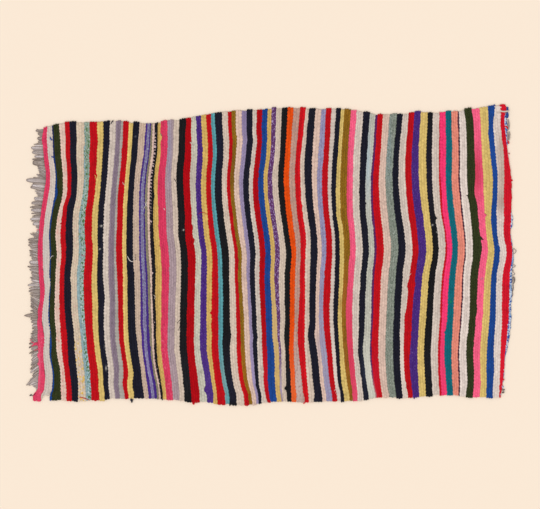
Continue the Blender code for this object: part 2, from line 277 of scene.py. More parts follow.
MM = 0.001
WARPS = 167
LEVEL = 4.2  # how high the middles of the picks lie over the floor, on average
WAVE = 0.6  # how far a pick rises over a warp and dips under the next
HALF_HEIGHT = 2.7  # of a pick's section
SWELL = 0.1  # extra width where a pick lies on top
OVERLAP = 1.09  # the picks press into each other, so that no warp shows
THIN_RAG = 7.0  # a pick narrower than this is also thinner
SECTION = np.array(((-1.0, 0.4), (-0.6, 0.9), (0.6, 0.9), (1.0, 0.4), (0.0, -1.0)))
CREASED_SIDES = (0, 3)  # the corners of the section where a pick meets the next one
CREASE_SHADE = np.array((0.8, 1.04, 1.04, 0.8, 1.0))  # painted shade in the creases where picks meet, painted light on the top
END_RINGS = np.array((0.0, 1.2, 3.4))  # distance in from the end of a pick, where its turn is rounded
END_SIZES = np.array((0.4, 0.74, 0.93))  # how large the pick is at those rings
END_ROUND = 6.5  # distance in from its end where a pick's weave starts
OUTER_SHORT = 2.4  # how much sooner a stripe's outer picks turn back than its middle one
UNEVEN_STRIPE, UNEVEN_PICK = 1.9, 0.8  # how far the stripes' and the picks' ends differ
PLUMPEST, LEANEST = 1.04, 0.85  # how far a pick's height may swell and shrink along it
CRUMPLE, CRUMPLE_SHARES = 0.16, (1.0, 0.4, 0.6)  # how far corners lie out of true along X, Y and Z
LOWEST = 0.1  # what keeps the rags off the floor
UNEVEN_DYE, RISE_AND_DIP_SHADE = 0.04, 0.05  # how far the picks' tones differ, and how far painted light and shade mark a rise and a dip


def drift(draw, rows, length, knots, amount):
    """Smooth random lines, one for each row: numbers drawn at the knots, joined by s^2 (3 - 2 s)."""
    drawn = draw.normal(0.0, amount, (rows, knots + 1))
    at = np.linspace(0.0, knots - 1e-6, length)
    first = at.astype(int)
    part = at - first
    ease = part**2 * (3 - 2 * part)
    return drawn[:, first] * (1 - ease) + drawn[:, first + 1] * ease


def column(name):
    """One field of every pick as an array, with a second axis for the rings along the pick."""
    return np.array([getattr(pick, name) for pick in PICKS])[:, None]


def pick_rings(draw):
    """Y of each ring of every pick, and the size of the rings along a pick.

    The rings are half a warp apart, with END_RINGS more at either end. A pick ends at its band's foot
    and head or past them, as its stripe does, and the outer picks of a stripe turn back sooner.
    """
    count = len(PICKS)
    middle = column("band")[:, 0, None] + (column("left") + column("right"))[:, 0] / 2
    every_line = np.arange(len(BANDS))
    turn = OUTER_SHORT * column("turn") ** 2
    foot = np.interp(middle[:, :1], every_line, [band.foot for band in BANDS]) - column("past_foot")
    head = np.interp(middle[:, 2:], every_line, [band.head for band in BANDS]) + column("past_head")
    starts = [0] + [n for n in range(1, count) if PICKS[n].cloth != PICKS[n - 1].cloth]
    stripe = np.searchsorted(starts, np.arange(count), side="right") - 1
    ends = draw.normal(0.0, UNEVEN_STRIPE, (2, len(starts), 1))[:, stripe]
    ends = ends + draw.normal(0.0, UNEVEN_PICK, (2, count, 1))
    foot = foot + turn + ends[0]
    head = head - turn + ends[1]
    along = np.linspace(0.0, 1.0, 2 * WARPS + 1)
    body = foot + END_ROUND + (head - foot - 2 * END_ROUND) * along
    size = np.concatenate((END_SIZES, np.ones(len(along)), END_SIZES[::-1]))
    return np.hstack((foot + END_RINGS, body, head - END_RINGS[::-1])), size


def pick_sides(draw, y):
    """X of the left and the right side of every pick at its rings: the plan's, with a smooth wobble.

    A jog adds reach * exp(-((y - along) / length)^2) to the left side of its cloth's first pick.
    """
    count, rings = y.shape
    wobble = drift(draw, count + 1, rings, knots=75, amount=0.6)
    for jog in JOGS:
        first = next((n for n, p in enumerate(PICKS) if (p.band, p.cloth) == (jog.band, jog.cloth)), count)
        beside = y[min(first, count - 1)]
        wobble[first] += jog.reach * np.exp(-(((beside - jog.along) / jog.length) ** 2))
    left = cut_place(column("band"), column("left"), y) + wobble[:-1]
    return left, cut_place(column("band"), column("right"), y) + wobble[1:]


def weave_picks():
    """Corners of every pick as (pick, ring, corner, xyz) in mm, and a tone for each pick and ring, with
    painted light where the pick rises over a warp and painted shade where it dips.

    A ring is the five-cornered SECTION halfway between the pick's two sides. Its height follows
    cos(pi * (ring / 2 + pick)), so it is on top at every second warp; its width follows the same wave.
    """
    draw = np.random.default_rng(5)
    y, size = pick_rings(draw)
    left, right = pick_sides(draw, y)
    count, rings = y.shape
    half = np.maximum(right - left, 1.0) / 2
    ring = np.arange(rings) - len(END_RINGS)
    wave = np.cos(np.pi * (ring / 2 + np.arange(count)[:, None]))
    thin = np.minimum(1.0, np.sqrt(2 * half / THIN_RAG))
    plump = 1 + drift(draw, count, rings, knots=60, amount=0.05)
    wide = half * (OVERLAP + SWELL * wave) * size
    tall = HALF_HEIGHT * np.clip(plump, LEANEST, PLUMPEST) * thin * size
    level = LEVEL + WAVE * wave * thin * (size == 1.0)
    corners = np.empty((count, rings, len(SECTION), 3))
    crumple = draw.normal(0.0, CRUMPLE, corners.shape)
    corners[..., 0] = ((left + right) / 2)[..., None] + wide[..., None] * SECTION[:, 0]
    corners[..., 1] = y[..., None]
    corners[..., 2] = level[..., None] + tall[..., None] * SECTION[:, 1]
    corners += crumple * CRUMPLE_SHARES
    corners[..., 2] = np.maximum(corners[..., 2], LOWEST)
    tone_and_shade = 1.0 + draw.normal(0.0, UNEVEN_DYE, (count, 1))
    # A pick is painted lighter where it rises over a warp and darker where it dips: painted light and
    # shade.
    tone_and_shade = tone_and_shade + drift(draw, count, rings, knots=110, amount=0.065) + RISE_AND_DIP_SHADE * wave
    return corners, tone_and_shade


CORNERS, TONES_AND_SHADE = weave_picks()


def linear(colour):
    """Screen colour 0 to 255 as the linear 0 to 1 that a shader takes."""
    share = np.asarray(colour, float) / 255
    return np.where(share <= 0.04045, share / 12.92, ((share + 0.055) / 1.055) ** 2.4)


# Worn, stained and bleached places, and bits of other cloth caught in a pick. A few darker places on
# the pale cream and pink stripes near the right end are painted shade of a soft ripple in the rug.
# A mark has the cloth that it is on, its place, how far it spreads, its colour and how strong it is.
Mark = namedtuple("Mark", "cloth x y across along colour strength")
MARKS = tuple(
    Mark(cloth, *mark)
    for cloth, *marks in (
        ("rose", (-924, -440, 8, 130, (240, 100, 132), 0.7)),
        ("cream", (356, 68, 5, 5, (150, 146, 136), 0.6), (-916, -40, 40, 700, (205, 195, 188), 0.9),
         (532, -440, 30, 130, (232, 216, 202), 0.8), (262, -440, 24, 130, (226, 210, 198), 0.9)),
        ("grey cream", (-277, -466, 7, 9, (130, 126, 120), 0.55),
         (-308, 310, 30, 70, (184, 168, 156), 0.7)),
        ("spotted beige", (-770, -338, 3, 2.5, (40, 34, 40), 1.0),
         (-777, 144, 2.5, 2.5, (90, 80, 70), 0.8)),
        ("yellow", (862, 276, 3, 3, (80, 70, 60), 0.7), (284, -194, 12, 30, (178, 138, 70), 0.8)),
        # The wide darker places at x 926 to 930 are painted shade of a soft ripple; the small ones are
        # specks.
        ("pale cream", (926, 440, 14, 50, (182, 156, 138), 0.75),
         (930, 320, 22, 130, (184, 158, 142), 0.8), (916, -98, 4, 3, (120, 112, 112), 0.7),
         (806, -68, 2.5, 2.5, (150, 150, 150), 0.8), (926, 214, 26, 40, (176, 150, 138), 0.85)),
        # The darker place at x 822 is painted shade of the same soft ripple.
        ("pink", (822, 330, 40, 100, (208, 58, 86), 0.9), (308, 300, 9, 400, (210, 58, 88), 0.8),
         (315, -420, 60, 330, (214, 58, 86), 0.9), (848, -92, 4, 3, (120, 130, 140), 0.8)),
        ("dark teal", (720, -186, 5, 4, (30, 120, 60), 0.8), (742, 200, 3, 3, (240, 90, 130), 0.7),
         (723, -184, 5, 5, (24, 130, 84), 0.8)),
        ("navy", (-708, 162, 2.5, 2.5, (220, 214, 205), 0.9), (-676, 118, 2.5, 3, (220, 214, 205), 0.9),
         (-681, 26, 2.5, 2.5, (220, 214, 205), 0.9), (-538, 476, 2.5, 2.5, (190, 190, 200), 0.7),
         (-658, -362, 2, 6, (230, 222, 214), 0.8), (-656, -450, 2, 8, (230, 222, 214), 0.7),
         (385, -430, 16, 90, (50, 56, 76), 0.75)),
        ("black", (-346, 102, 2.5, 2.5, (220, 214, 205), 0.9), (650, 122, 2.5, 2.5, (220, 214, 205), 0.9),
         (668, 94, 2.5, 2.5, (220, 214, 205), 0.9), (-152, -500, 24, 110, (32, 34, 54), 0.8),
         (-200, 420, 24, 220, (28, 30, 50), 0.8), (636, 310, 26, 170, (34, 30, 48), 0.7),
         (420, -460, 3000, 90, (32, 32, 42), 0.4)),
        ("tan", (-538, 2, 2.5, 2.5, (44, 36, 40), 1.0), (-538, -7, 2.5, 2.5, (44, 36, 40), 1.0),
         (-538, -15, 2.5, 2.5, (44, 36, 40), 0.9)),
        ("warm cream", (80, -26, 4, 3, (170, 160, 190), 0.8)),
        ("blue", (914, 44, 2.5, 2.5, (200, 210, 220), 0.9), (896, 380, 30, 110, (32, 76, 156), 0.8)),
        ("red", (738, 120, 3, 3, (190, 30, 60), 0.7), (425, -480, 16, 110, (198, 22, 48), 0.6),
         (-118, -480, 14, 110, (206, 18, 26), 0.8)),
        ("purple marl", (50, -520, 30, 90, (182, 166, 176), 0.95)),
        ("dusty pink", (114, -510, 24, 120, (200, 180, 174), 0.95)),
        ("teal", (-184, -500, 16, 110, (132, 160, 158), 0.65)),
        ("deep yellow", (-453, -50, 2.5, 3, (84, 52, 44), 0.9), (-455, -66, 2.5, 3, (84, 52, 44), 0.9),
         (-459, -44, 2, 3, (84, 52, 44), 0.7), (-442, 40, 2, 3, (110, 78, 50), 0.7),
         (-447, 120, 2, 3, (110, 78, 50), 0.7), (22, -300, 24, 240, (206, 174, 120), 0.85)),
        ("thread blue", (-868, 470, 40, 110, (36, 38, 80), 0.85), (-882, 60, 30, 110, (42, 54, 108), 0.7)),
        ("leaf print", (-720, 480, 60, 200, (128, 146, 122), 0.85),
         (-735, -470, 60, 130, (134, 170, 186), 0.7)),
        ("deep red", (-22, -470, 30, 110, (196, 18, 34), 0.9)),
        ("mustard", (-100, -470, 30, 110, (156, 102, 26), 0.9), (-152, 340, 30, 100, (120, 82, 24), 0.7)),
        ("lavender", (-75, -500, 30, 110, (166, 150, 188), 0.9), (-108, 550, 30, 80, (134, 118, 152), 0.8)),
        ("orange", (90, -540, 30, 130, (232, 104, 52), 0.8)),
        ("pale pink", (198, -360, 14, 60, (184, 164, 168), 0.8)),
        ("lavender blue", (212, -380, 30, 220, (164, 152, 172), 0.8)),
        ("brown mustard", (300, -150, 30, 90, (162, 94, 34), 0.8),
         (306, -430, 30, 120, (152, 92, 34), 0.7)),
        ("pale green", (396, -480, 30, 120, (212, 208, 194), 0.8),
         (392, 380, 12, 150, (176, 194, 202), 0.75)),
        ("hot pink", (698, -440, 30, 160, (234, 66, 110), 0.8)),
        ("crimson", (932, -440, 30, 150, (224, 26, 48), 0.85)),
        ("faded violet", (-490, -470, 30, 120, (146, 132, 178), 0.7)),
        ("light mauve", (-402, 420, 9, 140, (152, 146, 172), 0.7)),
        ("sage mottle", (474, 430, 12, 150, (132, 152, 156), 0.7)),
        ("purple", (-236, -420, 24, 160, (82, 56, 134), 0.8)),
        ("plum", (412, -545, 40, 60, (200, 96, 104), 0.9)),
    )
    for mark in marks
)


def marked(cloths, corners, colour):
    """The colour at each corner once every mark on its cloth has had its share of it.

    The share is strength * exp(-((x - mark x) / across)^2 - ((y - mark y) / along)^2).
    """
    for mark in MARKS:
        far = ((corners[..., 0] - mark.x) / mark.across) ** 2
        far = far + ((corners[..., 1] - mark.y) / mark.along) ** 2
        here = (cloths == mark.cloth)[:, None, None]
        share = (here * mark.strength * np.exp(-far))[..., None]
        colour = colour + (linear(mark.colour) - colour) * share
    return colour


UV_MARGIN = 0.04  # the part of its band of the map that a tube leaves free at either side
CAP_LENGTH, CAP_WIDTH = 0.001, 0.4  # half of what a tube's end takes of the map's length and of its band


def tube_grid(tubes, rings, sides):
    """The tube, the ring and the side that every wall of closed tubes starts from."""
    return np.meshgrid(np.arange(tubes), np.arange(rings - 1), np.arange(sides), indexing="ij")


def tube_faces(tubes, rings, sides):
    """Corner numbers of the walls of closed tubes, as rows of four, and of their end caps.

    Corner (tube, ring, side) has the number (tube * rings + ring) * sides + side. A wall joins a side
    and the next one on two neighbouring rings, and a cap is a whole first or last ring.
    """
    tube, ring, side = tube_grid(tubes, rings, sides)
    here = (tube * rings + ring) * sides
    beside = (side + 1) % sides
    walls = np.stack((here + side, here + beside, here + sides + beside, here + sides + side), axis=-1)
    first = (np.arange(tubes) * rings * sides)[:, None] + np.arange(sides)
    last = first + (rings - 1) * sides
    return walls.reshape(-1, 4), np.vstack((first[:, ::-1], last))


def tube_uv(tubes, rings, sides):
    """UV of every face corner, in the order of tube_faces.

    U is the ring over the last ring, and V the tube plus the side over the sides, over the tubes, so
    each tube has its own band of the map. A cap is a small ellipse at the band's end.
    """
    tube, ring, side = tube_grid(tubes, rings, sides)
    u = np.stack((ring, ring, ring + 1, ring + 1), axis=-1) / (rings - 1)
    v = np.stack((side, side + 1, side + 1, side), axis=-1) / sides
    v = (tube[..., None] + UV_MARGIN + (1 - 2 * UV_MARGIN) * v) / tubes
    walls = np.stack((u, v), axis=-1).reshape(-1, 2)
    turn = 2 * np.pi * np.arange(sides) / sides
    cap_v = (np.arange(tubes)[:, None] + 0.5 + CAP_WIDTH * np.sin(turn)) / tubes
    caps = [
        np.stack(np.broadcast_arrays(middle + CAP_LENGTH * np.cos(turn), cap_v), axis=-1).reshape(-1, 2)
        for middle in (CAP_LENGTH, 1 - CAP_LENGTH)
    ]
    return np.vstack((walls, *caps))


def placed(mesh, surface):
    """A new object of the mesh, with its name and this material, in the scene."""
    mesh.materials.append(surface)
    piece = bpy.data.objects.new(mesh.name, mesh)
    bpy.context.scene.collection.objects.link(piece)
    return piece


def tube_object(name, corners, dye_and_shade, surface, creases=()):
    """Object of closed tubes from (tube, ring, side, xyz) corners in mm, coloured at every corner with
    the dye and any painted light and shade that the colours hold.

    The lines of edges along the tubes at the corners in creases stay sharp.
    """
    tubes, rings, sides = corners.shape[:3]
    walls, caps = tube_faces(tubes, rings, sides)
    loops = np.concatenate((walls.ravel(), caps.ravel()))
    sizes = np.concatenate((np.full(len(walls), 4), np.full(len(caps), sides)))
    mesh = bpy.data.meshes.new(name)
    mesh.vertices.add(corners.size // 3)
    mesh.vertices.foreach_set("co", (corners * MM).astype(np.float32).ravel())
    mesh.loops.add(len(loops))
    mesh.loops.foreach_set("vertex_index", loops.astype(np.int32))
    mesh.polygons.add(len(sizes))
    mesh.polygons.foreach_set("loop_start", (np.cumsum(sizes) - sizes).astype(np.int32))
    mesh.update(calc_edges=True)
    mesh.shade_smooth()
    ends = np.empty(2 * len(mesh.edges), np.int32)
    mesh.edges.foreach_get("vertices", ends)
    side = ends.reshape(-1, 2) % sides
    creased = (side[:, 0] == side[:, 1]) & np.isin(side[:, 0], creases)
    mesh.attributes.new("sharp_edge", "BOOLEAN", "EDGE").data.foreach_set("value", creased)
    uv = mesh.uv_layers.new(name="OFBake")
    uv.uv.foreach_set("vector", tube_uv(tubes, rings, sides).astype(np.float32).ravel())
    colour = np.ones((tubes, rings, sides, 4), np.float32)
    colour[..., :3] = np.clip(dye_and_shade, 0.0, 1.0)
    # Each corner's colour: the dye, and on the rags and the fringe painted light and shade as well.
    painted = mesh.attributes.new("dye_and_shade", "FLOAT_COLOR", "POINT")
    painted.data.foreach_set("color", colour.ravel())
    piece = placed(mesh, surface)
    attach(piece, "root")
    return piece


def rag_piece(name, dyes, surface):
    """All the picks that are torn from these cloths, each in its cloth's colour and its own tone,
    with painted shade in the creases and dips and painted light on the tops and rises.
    """
    mine = [number for number, pick in enumerate(PICKS) if pick.cloth in dyes]
    colours = np.array([linear(dyes[PICKS[number].cloth]) for number in mine])
    # painted light and shade: darker in the creases and dips, lighter on the tops and rises
    dye_and_shade = colours[:, None, None, :] * (TONES_AND_SHADE[mine][..., None] * CREASE_SHADE)[..., None]
    cloths = np.array([PICKS[number].cloth for number in mine])
    dye_and_shade = marked(cloths, CORNERS[mine], dye_and_shade)
    return tube_object(name, CORNERS[mine], dye_and_shade, surface, CREASED_SIDES)


# --- Plain rags --------------------------------------------------------------------------------
# Worn-out shirts, sheets and jersey torn into strips a few centimetres wide, one plain colour to a
# cloth. Jersey curls into soft cords; sheeting creases and shows its threads.


def fill(tree, node, inputs):
    """Each named input of the node is linked where a socket is given, and set where a value is."""
    for socket, given in inputs.items():
        if isinstance(given, bpy.types.NodeSocket):
            tree.links.new(given, node.inputs[socket])
        else:
            node.inputs[socket].default_value = given


def new_node(tree, kind, inputs=None, **settings):
    """A node with its settings and its inputs."""
    made = tree.nodes.new(kind)
    for setting, value in settings.items():
        setattr(made, setting, value)
    fill(tree, made, inputs or {})
    return made


def reckoned(tree, operation, *values):
    """What one Math node makes of these sockets and numbers."""
    return new_node(tree, "ShaderNodeMath", dict(enumerate(values)), operation=operation).outputs[0]


def shader_group(name, inputs, outputs):
    """An empty node group with these named sockets, and its input and output nodes."""
    group = bpy.data.node_groups.new(name, "ShaderNodeTree")
    for socket, kind, value in inputs:
        made = group.interface.new_socket(socket, in_out="INPUT", socket_type=kind)
        made.default_value = value
    for socket, kind in outputs:
        group.interface.new_socket(socket, in_out="OUTPUT", socket_type=kind)
    return group, group.nodes.new("NodeGroupInput"), group.nodes.new("NodeGroupOutput")


def own_place(tree):
    """Where a point of the piece is, in metres."""
    return new_node(tree, "ShaderNodeTexCoord").outputs["Object"]


def scaled_noise(tree, scale, detail):
    """Noise over the piece, with its own scale along X, Y and Z."""
    mapping = {"Vector": own_place(tree), "Scale": scale}
    scaled = new_node(tree, "ShaderNodeMapping", mapping).outputs["Vector"]
    noise = {"Vector": scaled, "Scale": 1.0, "Detail": detail}
    return new_node(tree, "ShaderNodeTexNoise", noise).outputs["Fac"]


def centred(tree, value, strength):
    """strength * (value - 0.5)."""
    return reckoned(tree, "MULTIPLY", reckoned(tree, "SUBTRACT", value, 0.5), strength)


def beaten_rag_group():
    """Torn cloth pressed into a pick: threads that run with the rag, its knit, folds and faded places.

    Shade is 1 + Threads * (n1 - 0.5) + Knit * (n2 - 0.5) + Faded * (n3 - 0.5), with n1 drawn out along
    the rag, n2 as fine as the cloth and n3 a hand wide. It darkens or bleaches the input colour, the dye
    with the painted light and shade that it carries.
    """
    group, given, made = shader_group(
        "beaten rag",
        (
            ("Dye_and_shade", "NodeSocketColor", (0.5, 0.5, 0.5, 1.0)),
            ("Threads", "NodeSocketFloat", 0.3),
            ("Knit", "NodeSocketFloat", 0.2),
            ("Faded", "NodeSocketFloat", 0.15),
            ("Folds", "NodeSocketFloat", 0.5),
        ),
        (("Colour", "NodeSocketColor"), ("Height", "NodeSocketFloat"), ("Roughness", "NodeSocketFloat")),
    )
    threads = scaled_noise(group, scale=(420.0, 26.0, 420.0), detail=3.0)
    knit = scaled_noise(group, scale=(290.0, 190.0, 290.0), detail=3.0)
    faded = scaled_noise(group, scale=(14.0, 7.0, 14.0), detail=2.0)
    folds = scaled_noise(group, scale=(170.0, 55.0, 170.0), detail=2.0)
    shade = reckoned(group, "ADD", centred(group, threads, given.outputs["Threads"]),
                     centred(group, knit, given.outputs["Knit"]))
    shade = reckoned(group, "ADD", shade, centred(group, faded, given.outputs["Faded"]))
    dyed_and_shaded = new_node(group, "ShaderNodeVectorMath",
                    {0: given.outputs["Dye_and_shade"], "Scale": reckoned(group, "ADD", shade, 1.0)},
                    operation="SCALE")
    height = reckoned(group, "ADD", shade, centred(group, folds, given.outputs["Folds"]))
    rough = {"Value": knit, "To Min": 0.97, "To Max": 0.82}
    rough = new_node(group, "ShaderNodeMapRange", rough).outputs[0]
    fill(group, made, {"Colour": dyed_and_shaded.outputs[0], "Height": height, "Roughness": rough})
    return group


BEATEN_RAG = beaten_rag_group()


def plain_material(name):
    """A new material, its node tree and its Principled shader."""
    surface = bpy.data.materials.new(name)
    surface.use_nodes = True
    return surface, surface.node_tree, surface.node_tree.nodes["Principled BSDF"]


def rag_material(name, threads, knit, folds, pattern=None, faded=0.12):
    """A Principled cloth on the piece's dye and its painted light and shade, through the beaten rag
    group; pattern may recolour it.
    """
    surface, tree, shader = plain_material(name)
    dye_and_shade = new_node(tree, "ShaderNodeAttribute", attribute_name="dye_and_shade").outputs["Color"]
    if pattern:
        dye_and_shade = pattern(tree, dye_and_shade)
    wear = {"Dye_and_shade": dye_and_shade, "Threads": threads, "Knit": knit, "Folds": folds, "Faded": faded}
    rag = new_node(tree, "ShaderNodeGroup", wear, node_tree=BEATEN_RAG)
    relief = {"Strength": 0.5, "Distance": 0.0008, "Height": rag.outputs["Height"]}
    fill(tree, shader, {
        "Base Color": rag.outputs["Colour"],
        "Roughness": rag.outputs["Roughness"],
        "Normal": new_node(tree, "ShaderNodeBump", relief).outputs["Normal"],
        "Specular IOR Level": 0.08,
        "Sheen Weight": 0.03,
        "Sheen Roughness": 0.6,
    })
    return surface


JERSEY = rag_material("soft_jersey", threads=0.5, knit=0.5, folds=0.6)
SHEETING = rag_material("creased_sheeting", threads=0.4, knit=0.32, folds=1.0)
DARK_JERSEY = rag_material("dark_jersey", threads=1.5, knit=1.9, folds=0.5)
STREAKED_JERSEY = rag_material("streaked_jersey", threads=1.3, knit=0.9, folds=0.6, faded=0.3)

PLAIN_RAGS = (
    ("off_white_rags", {
        "cream": (210, 194, 181), "warm cream": (206, 186, 169), "pale cream": (221, 205, 195),
        "grey cream": (194, 189, 172)}, SHEETING),
    ("pale_pink_rags", {"pale pink": (215, 184, 168)}, SHEETING),
    ("pink_rags", {"pink": (240, 94, 130), "hot pink": (248, 56, 112)}, JERSEY),
    ("red_rags", {
        "red": (185, 11, 22), "scarlet": (199, 15, 26), "deep red": (172, 3, 15),
        "crimson": (208, 20, 40), "dark red": (198, 18, 34)}, JERSEY),
    ("navy_rags", {"navy": (25, 25, 38), "thread navy": (72, 38, 58)}, DARK_JERSEY),
    ("black_rags", {"black": (23, 23, 25)}, DARK_JERSEY),
    ("olive_rags", {"olive": (48, 54, 26)}, DARK_JERSEY),
    ("yellow_rags", {"yellow": (216, 186, 110), "deep yellow": (204, 168, 94)}, SHEETING),
    ("mustard_rags", {"mustard": (134, 100, 26), "brown mustard": (138, 97, 24)}, STREAKED_JERSEY),
    ("orange_rag", {"orange": (222, 74, 10)}, JERSEY),
    ("salmon_rag", {"salmon": (228, 138, 118)}, SHEETING),
    ("tan_rag", {"tan": (196, 171, 152)}, SHEETING),
    ("blue_rags", {"blue": (26, 67, 138), "thread blue": (24, 64, 132)}, JERSEY),
    ("teal_rags", {"teal": (88, 153, 160), "dark teal": (14, 101, 115)}, JERSEY),
    ("violet_rags", {"violet": (74, 44, 133), "deep violet": (66, 40, 124), "plum": (92, 36, 92)}, JERSEY),
    ("lavender_rag", {"lavender": (148, 134, 166)}, SHEETING),
    ("mauve_rags", {"mauve": (136, 118, 132), "light mauve": (165, 143, 148)}, JERSEY),
    ("sage_rags", {
        "grey green": (169, 162, 154), "sage": (132, 124, 100), "pale green": (191, 188, 174)}, SHEETING),
)
rags = [rag_piece(*row) for row in PLAIN_RAGS]

# --- Patterned rags ----------------------------------------------------------------------------
# Printed, flecked and two-coloured cloth. The print was on the flat cloth, so tearing and beating
# leave only scraps of it: specks, leaves, dashes and marl.


def paint(colour):
    """Screen colour as the four linear numbers of a colour socket."""
    return (*linear(colour), 1.0)


def mixed(tree, share, first, second, blend="MIX"):
    """The first colour with a share of the second."""
    colours = {"Factor": share, "A": first, "B": second}
    return new_node(tree, "ShaderNodeMix", colours, data_type="RGBA", blend_type=blend).outputs["Result"]


def speckle_group():
    """Specks of one colour on a ground, where noise is above 1 - Share.

    The noise is read at Size * ((X, Stretch * Y, Z) + Shift), and the specks' rims are Softness wide.
    """
    group, given, made = shader_group(
        "specks",
        (
            ("Ground", "NodeSocketColor", (0.5, 0.5, 0.5, 1.0)),
            ("Speck", "NodeSocketColor", (0.5, 0.5, 0.5, 1.0)),
            ("Size", "NodeSocketFloat", 100.0),
            ("Stretch", "NodeSocketFloat", 1.0),
            ("Share", "NodeSocketFloat", 0.4),
            ("Softness", "NodeSocketFloat", 0.05),
            ("Shift", "NodeSocketFloat", 0.0),
        ),
        (("Colour", "NodeSocketColor"),),
    )
    squeeze = new_node(group, "ShaderNodeCombineXYZ", {"X": 1.0, "Y": given.outputs["Stretch"], "Z": 1.0})
    pressed = new_node(group, "ShaderNodeVectorMath", {0: own_place(group), 1: squeeze.outputs[0]},
                       operation="MULTIPLY")
    moved = new_node(group, "ShaderNodeVectorMath", {0: pressed.outputs[0], 1: given.outputs["Shift"]},
                     operation="ADD")
    noise = new_node(group, "ShaderNodeTexNoise",
                     {"Vector": moved.outputs[0], "Scale": given.outputs["Size"], "Detail": 1.5})
    low = reckoned(group, "SUBTRACT", 1.0, given.outputs["Share"])
    high = reckoned(group, "ADD", low, given.outputs["Softness"])
    soft = new_node(group, "ShaderNodeMapRange",
                    {"Value": noise.outputs["Fac"], "From Min": low, "From Max": high})
    colour = mixed(group, soft.outputs[0], given.outputs["Ground"], given.outputs["Speck"])
    fill(group, made, {"Colour": colour})
    return group


SPECKS = speckle_group()


def specks(colour, size, share, stretch=1.0, softness=0.05, shift=0.0):
    """A pattern that lays specks of one colour over the dye."""

    def recolour(tree, dye_and_shade):
        scraps = {"Ground": dye_and_shade, "Speck": paint(colour), "Size": size, "Stretch": stretch,
                  "Share": share, "Softness": softness, "Shift": shift}
        return new_node(tree, "ShaderNodeGroup", scraps, node_tree=SPECKS).outputs["Colour"]

    return recolour


def layered(*patterns):
    """Several patterns, one over the other."""

    def recolour(tree, dye_and_shade):
        for pattern in patterns:
            dye_and_shade = pattern(tree, dye_and_shade)
        return dye_and_shade

    return recolour


def rising(pattern, start, end):
    """The pattern over a part of the rug's width only: it fades in along Y from start to end, in mm."""

    def recolour(tree, dye_and_shade):
        y = new_node(tree, "ShaderNodeSeparateXYZ", {0: own_place(tree)}).outputs["Y"]
        fade = new_node(tree, "ShaderNodeMapRange",
                        {"Value": y, "From Min": start * MM, "From Max": end * MM})
        return mixed(tree, fade.outputs[0], dye_and_shade, pattern(tree, dye_and_shade))

    return recolour


def dashes(colour, pitch, share, slant, uneven):
    """Slanting dashes across the rag: the part of (y + slant * x) / pitch after the point, under share.

    Noise a dash wide, times uneven, is added before the part is taken, so no two dashes are alike.
    """

    def recolour(tree, dye_and_shade):
        slide = new_node(tree, "ShaderNodeVectorMath", {0: own_place(tree), 1: (slant, 1.0, 0.0)},
                         operation="DOT_PRODUCT")
        turns = reckoned(tree, "MULTIPLY", slide.outputs["Value"], 1.0 / (pitch * MM))
        noise = scaled_noise(tree, scale=(70.0, 70.0, 70.0), detail=1.0)
        part = reckoned(tree, "FRACT", reckoned(tree, "MULTIPLY_ADD", noise, uneven, turns))
        return mixed(tree, reckoned(tree, "LESS_THAN", part, share), dye_and_shade, paint(colour))

    return recolour


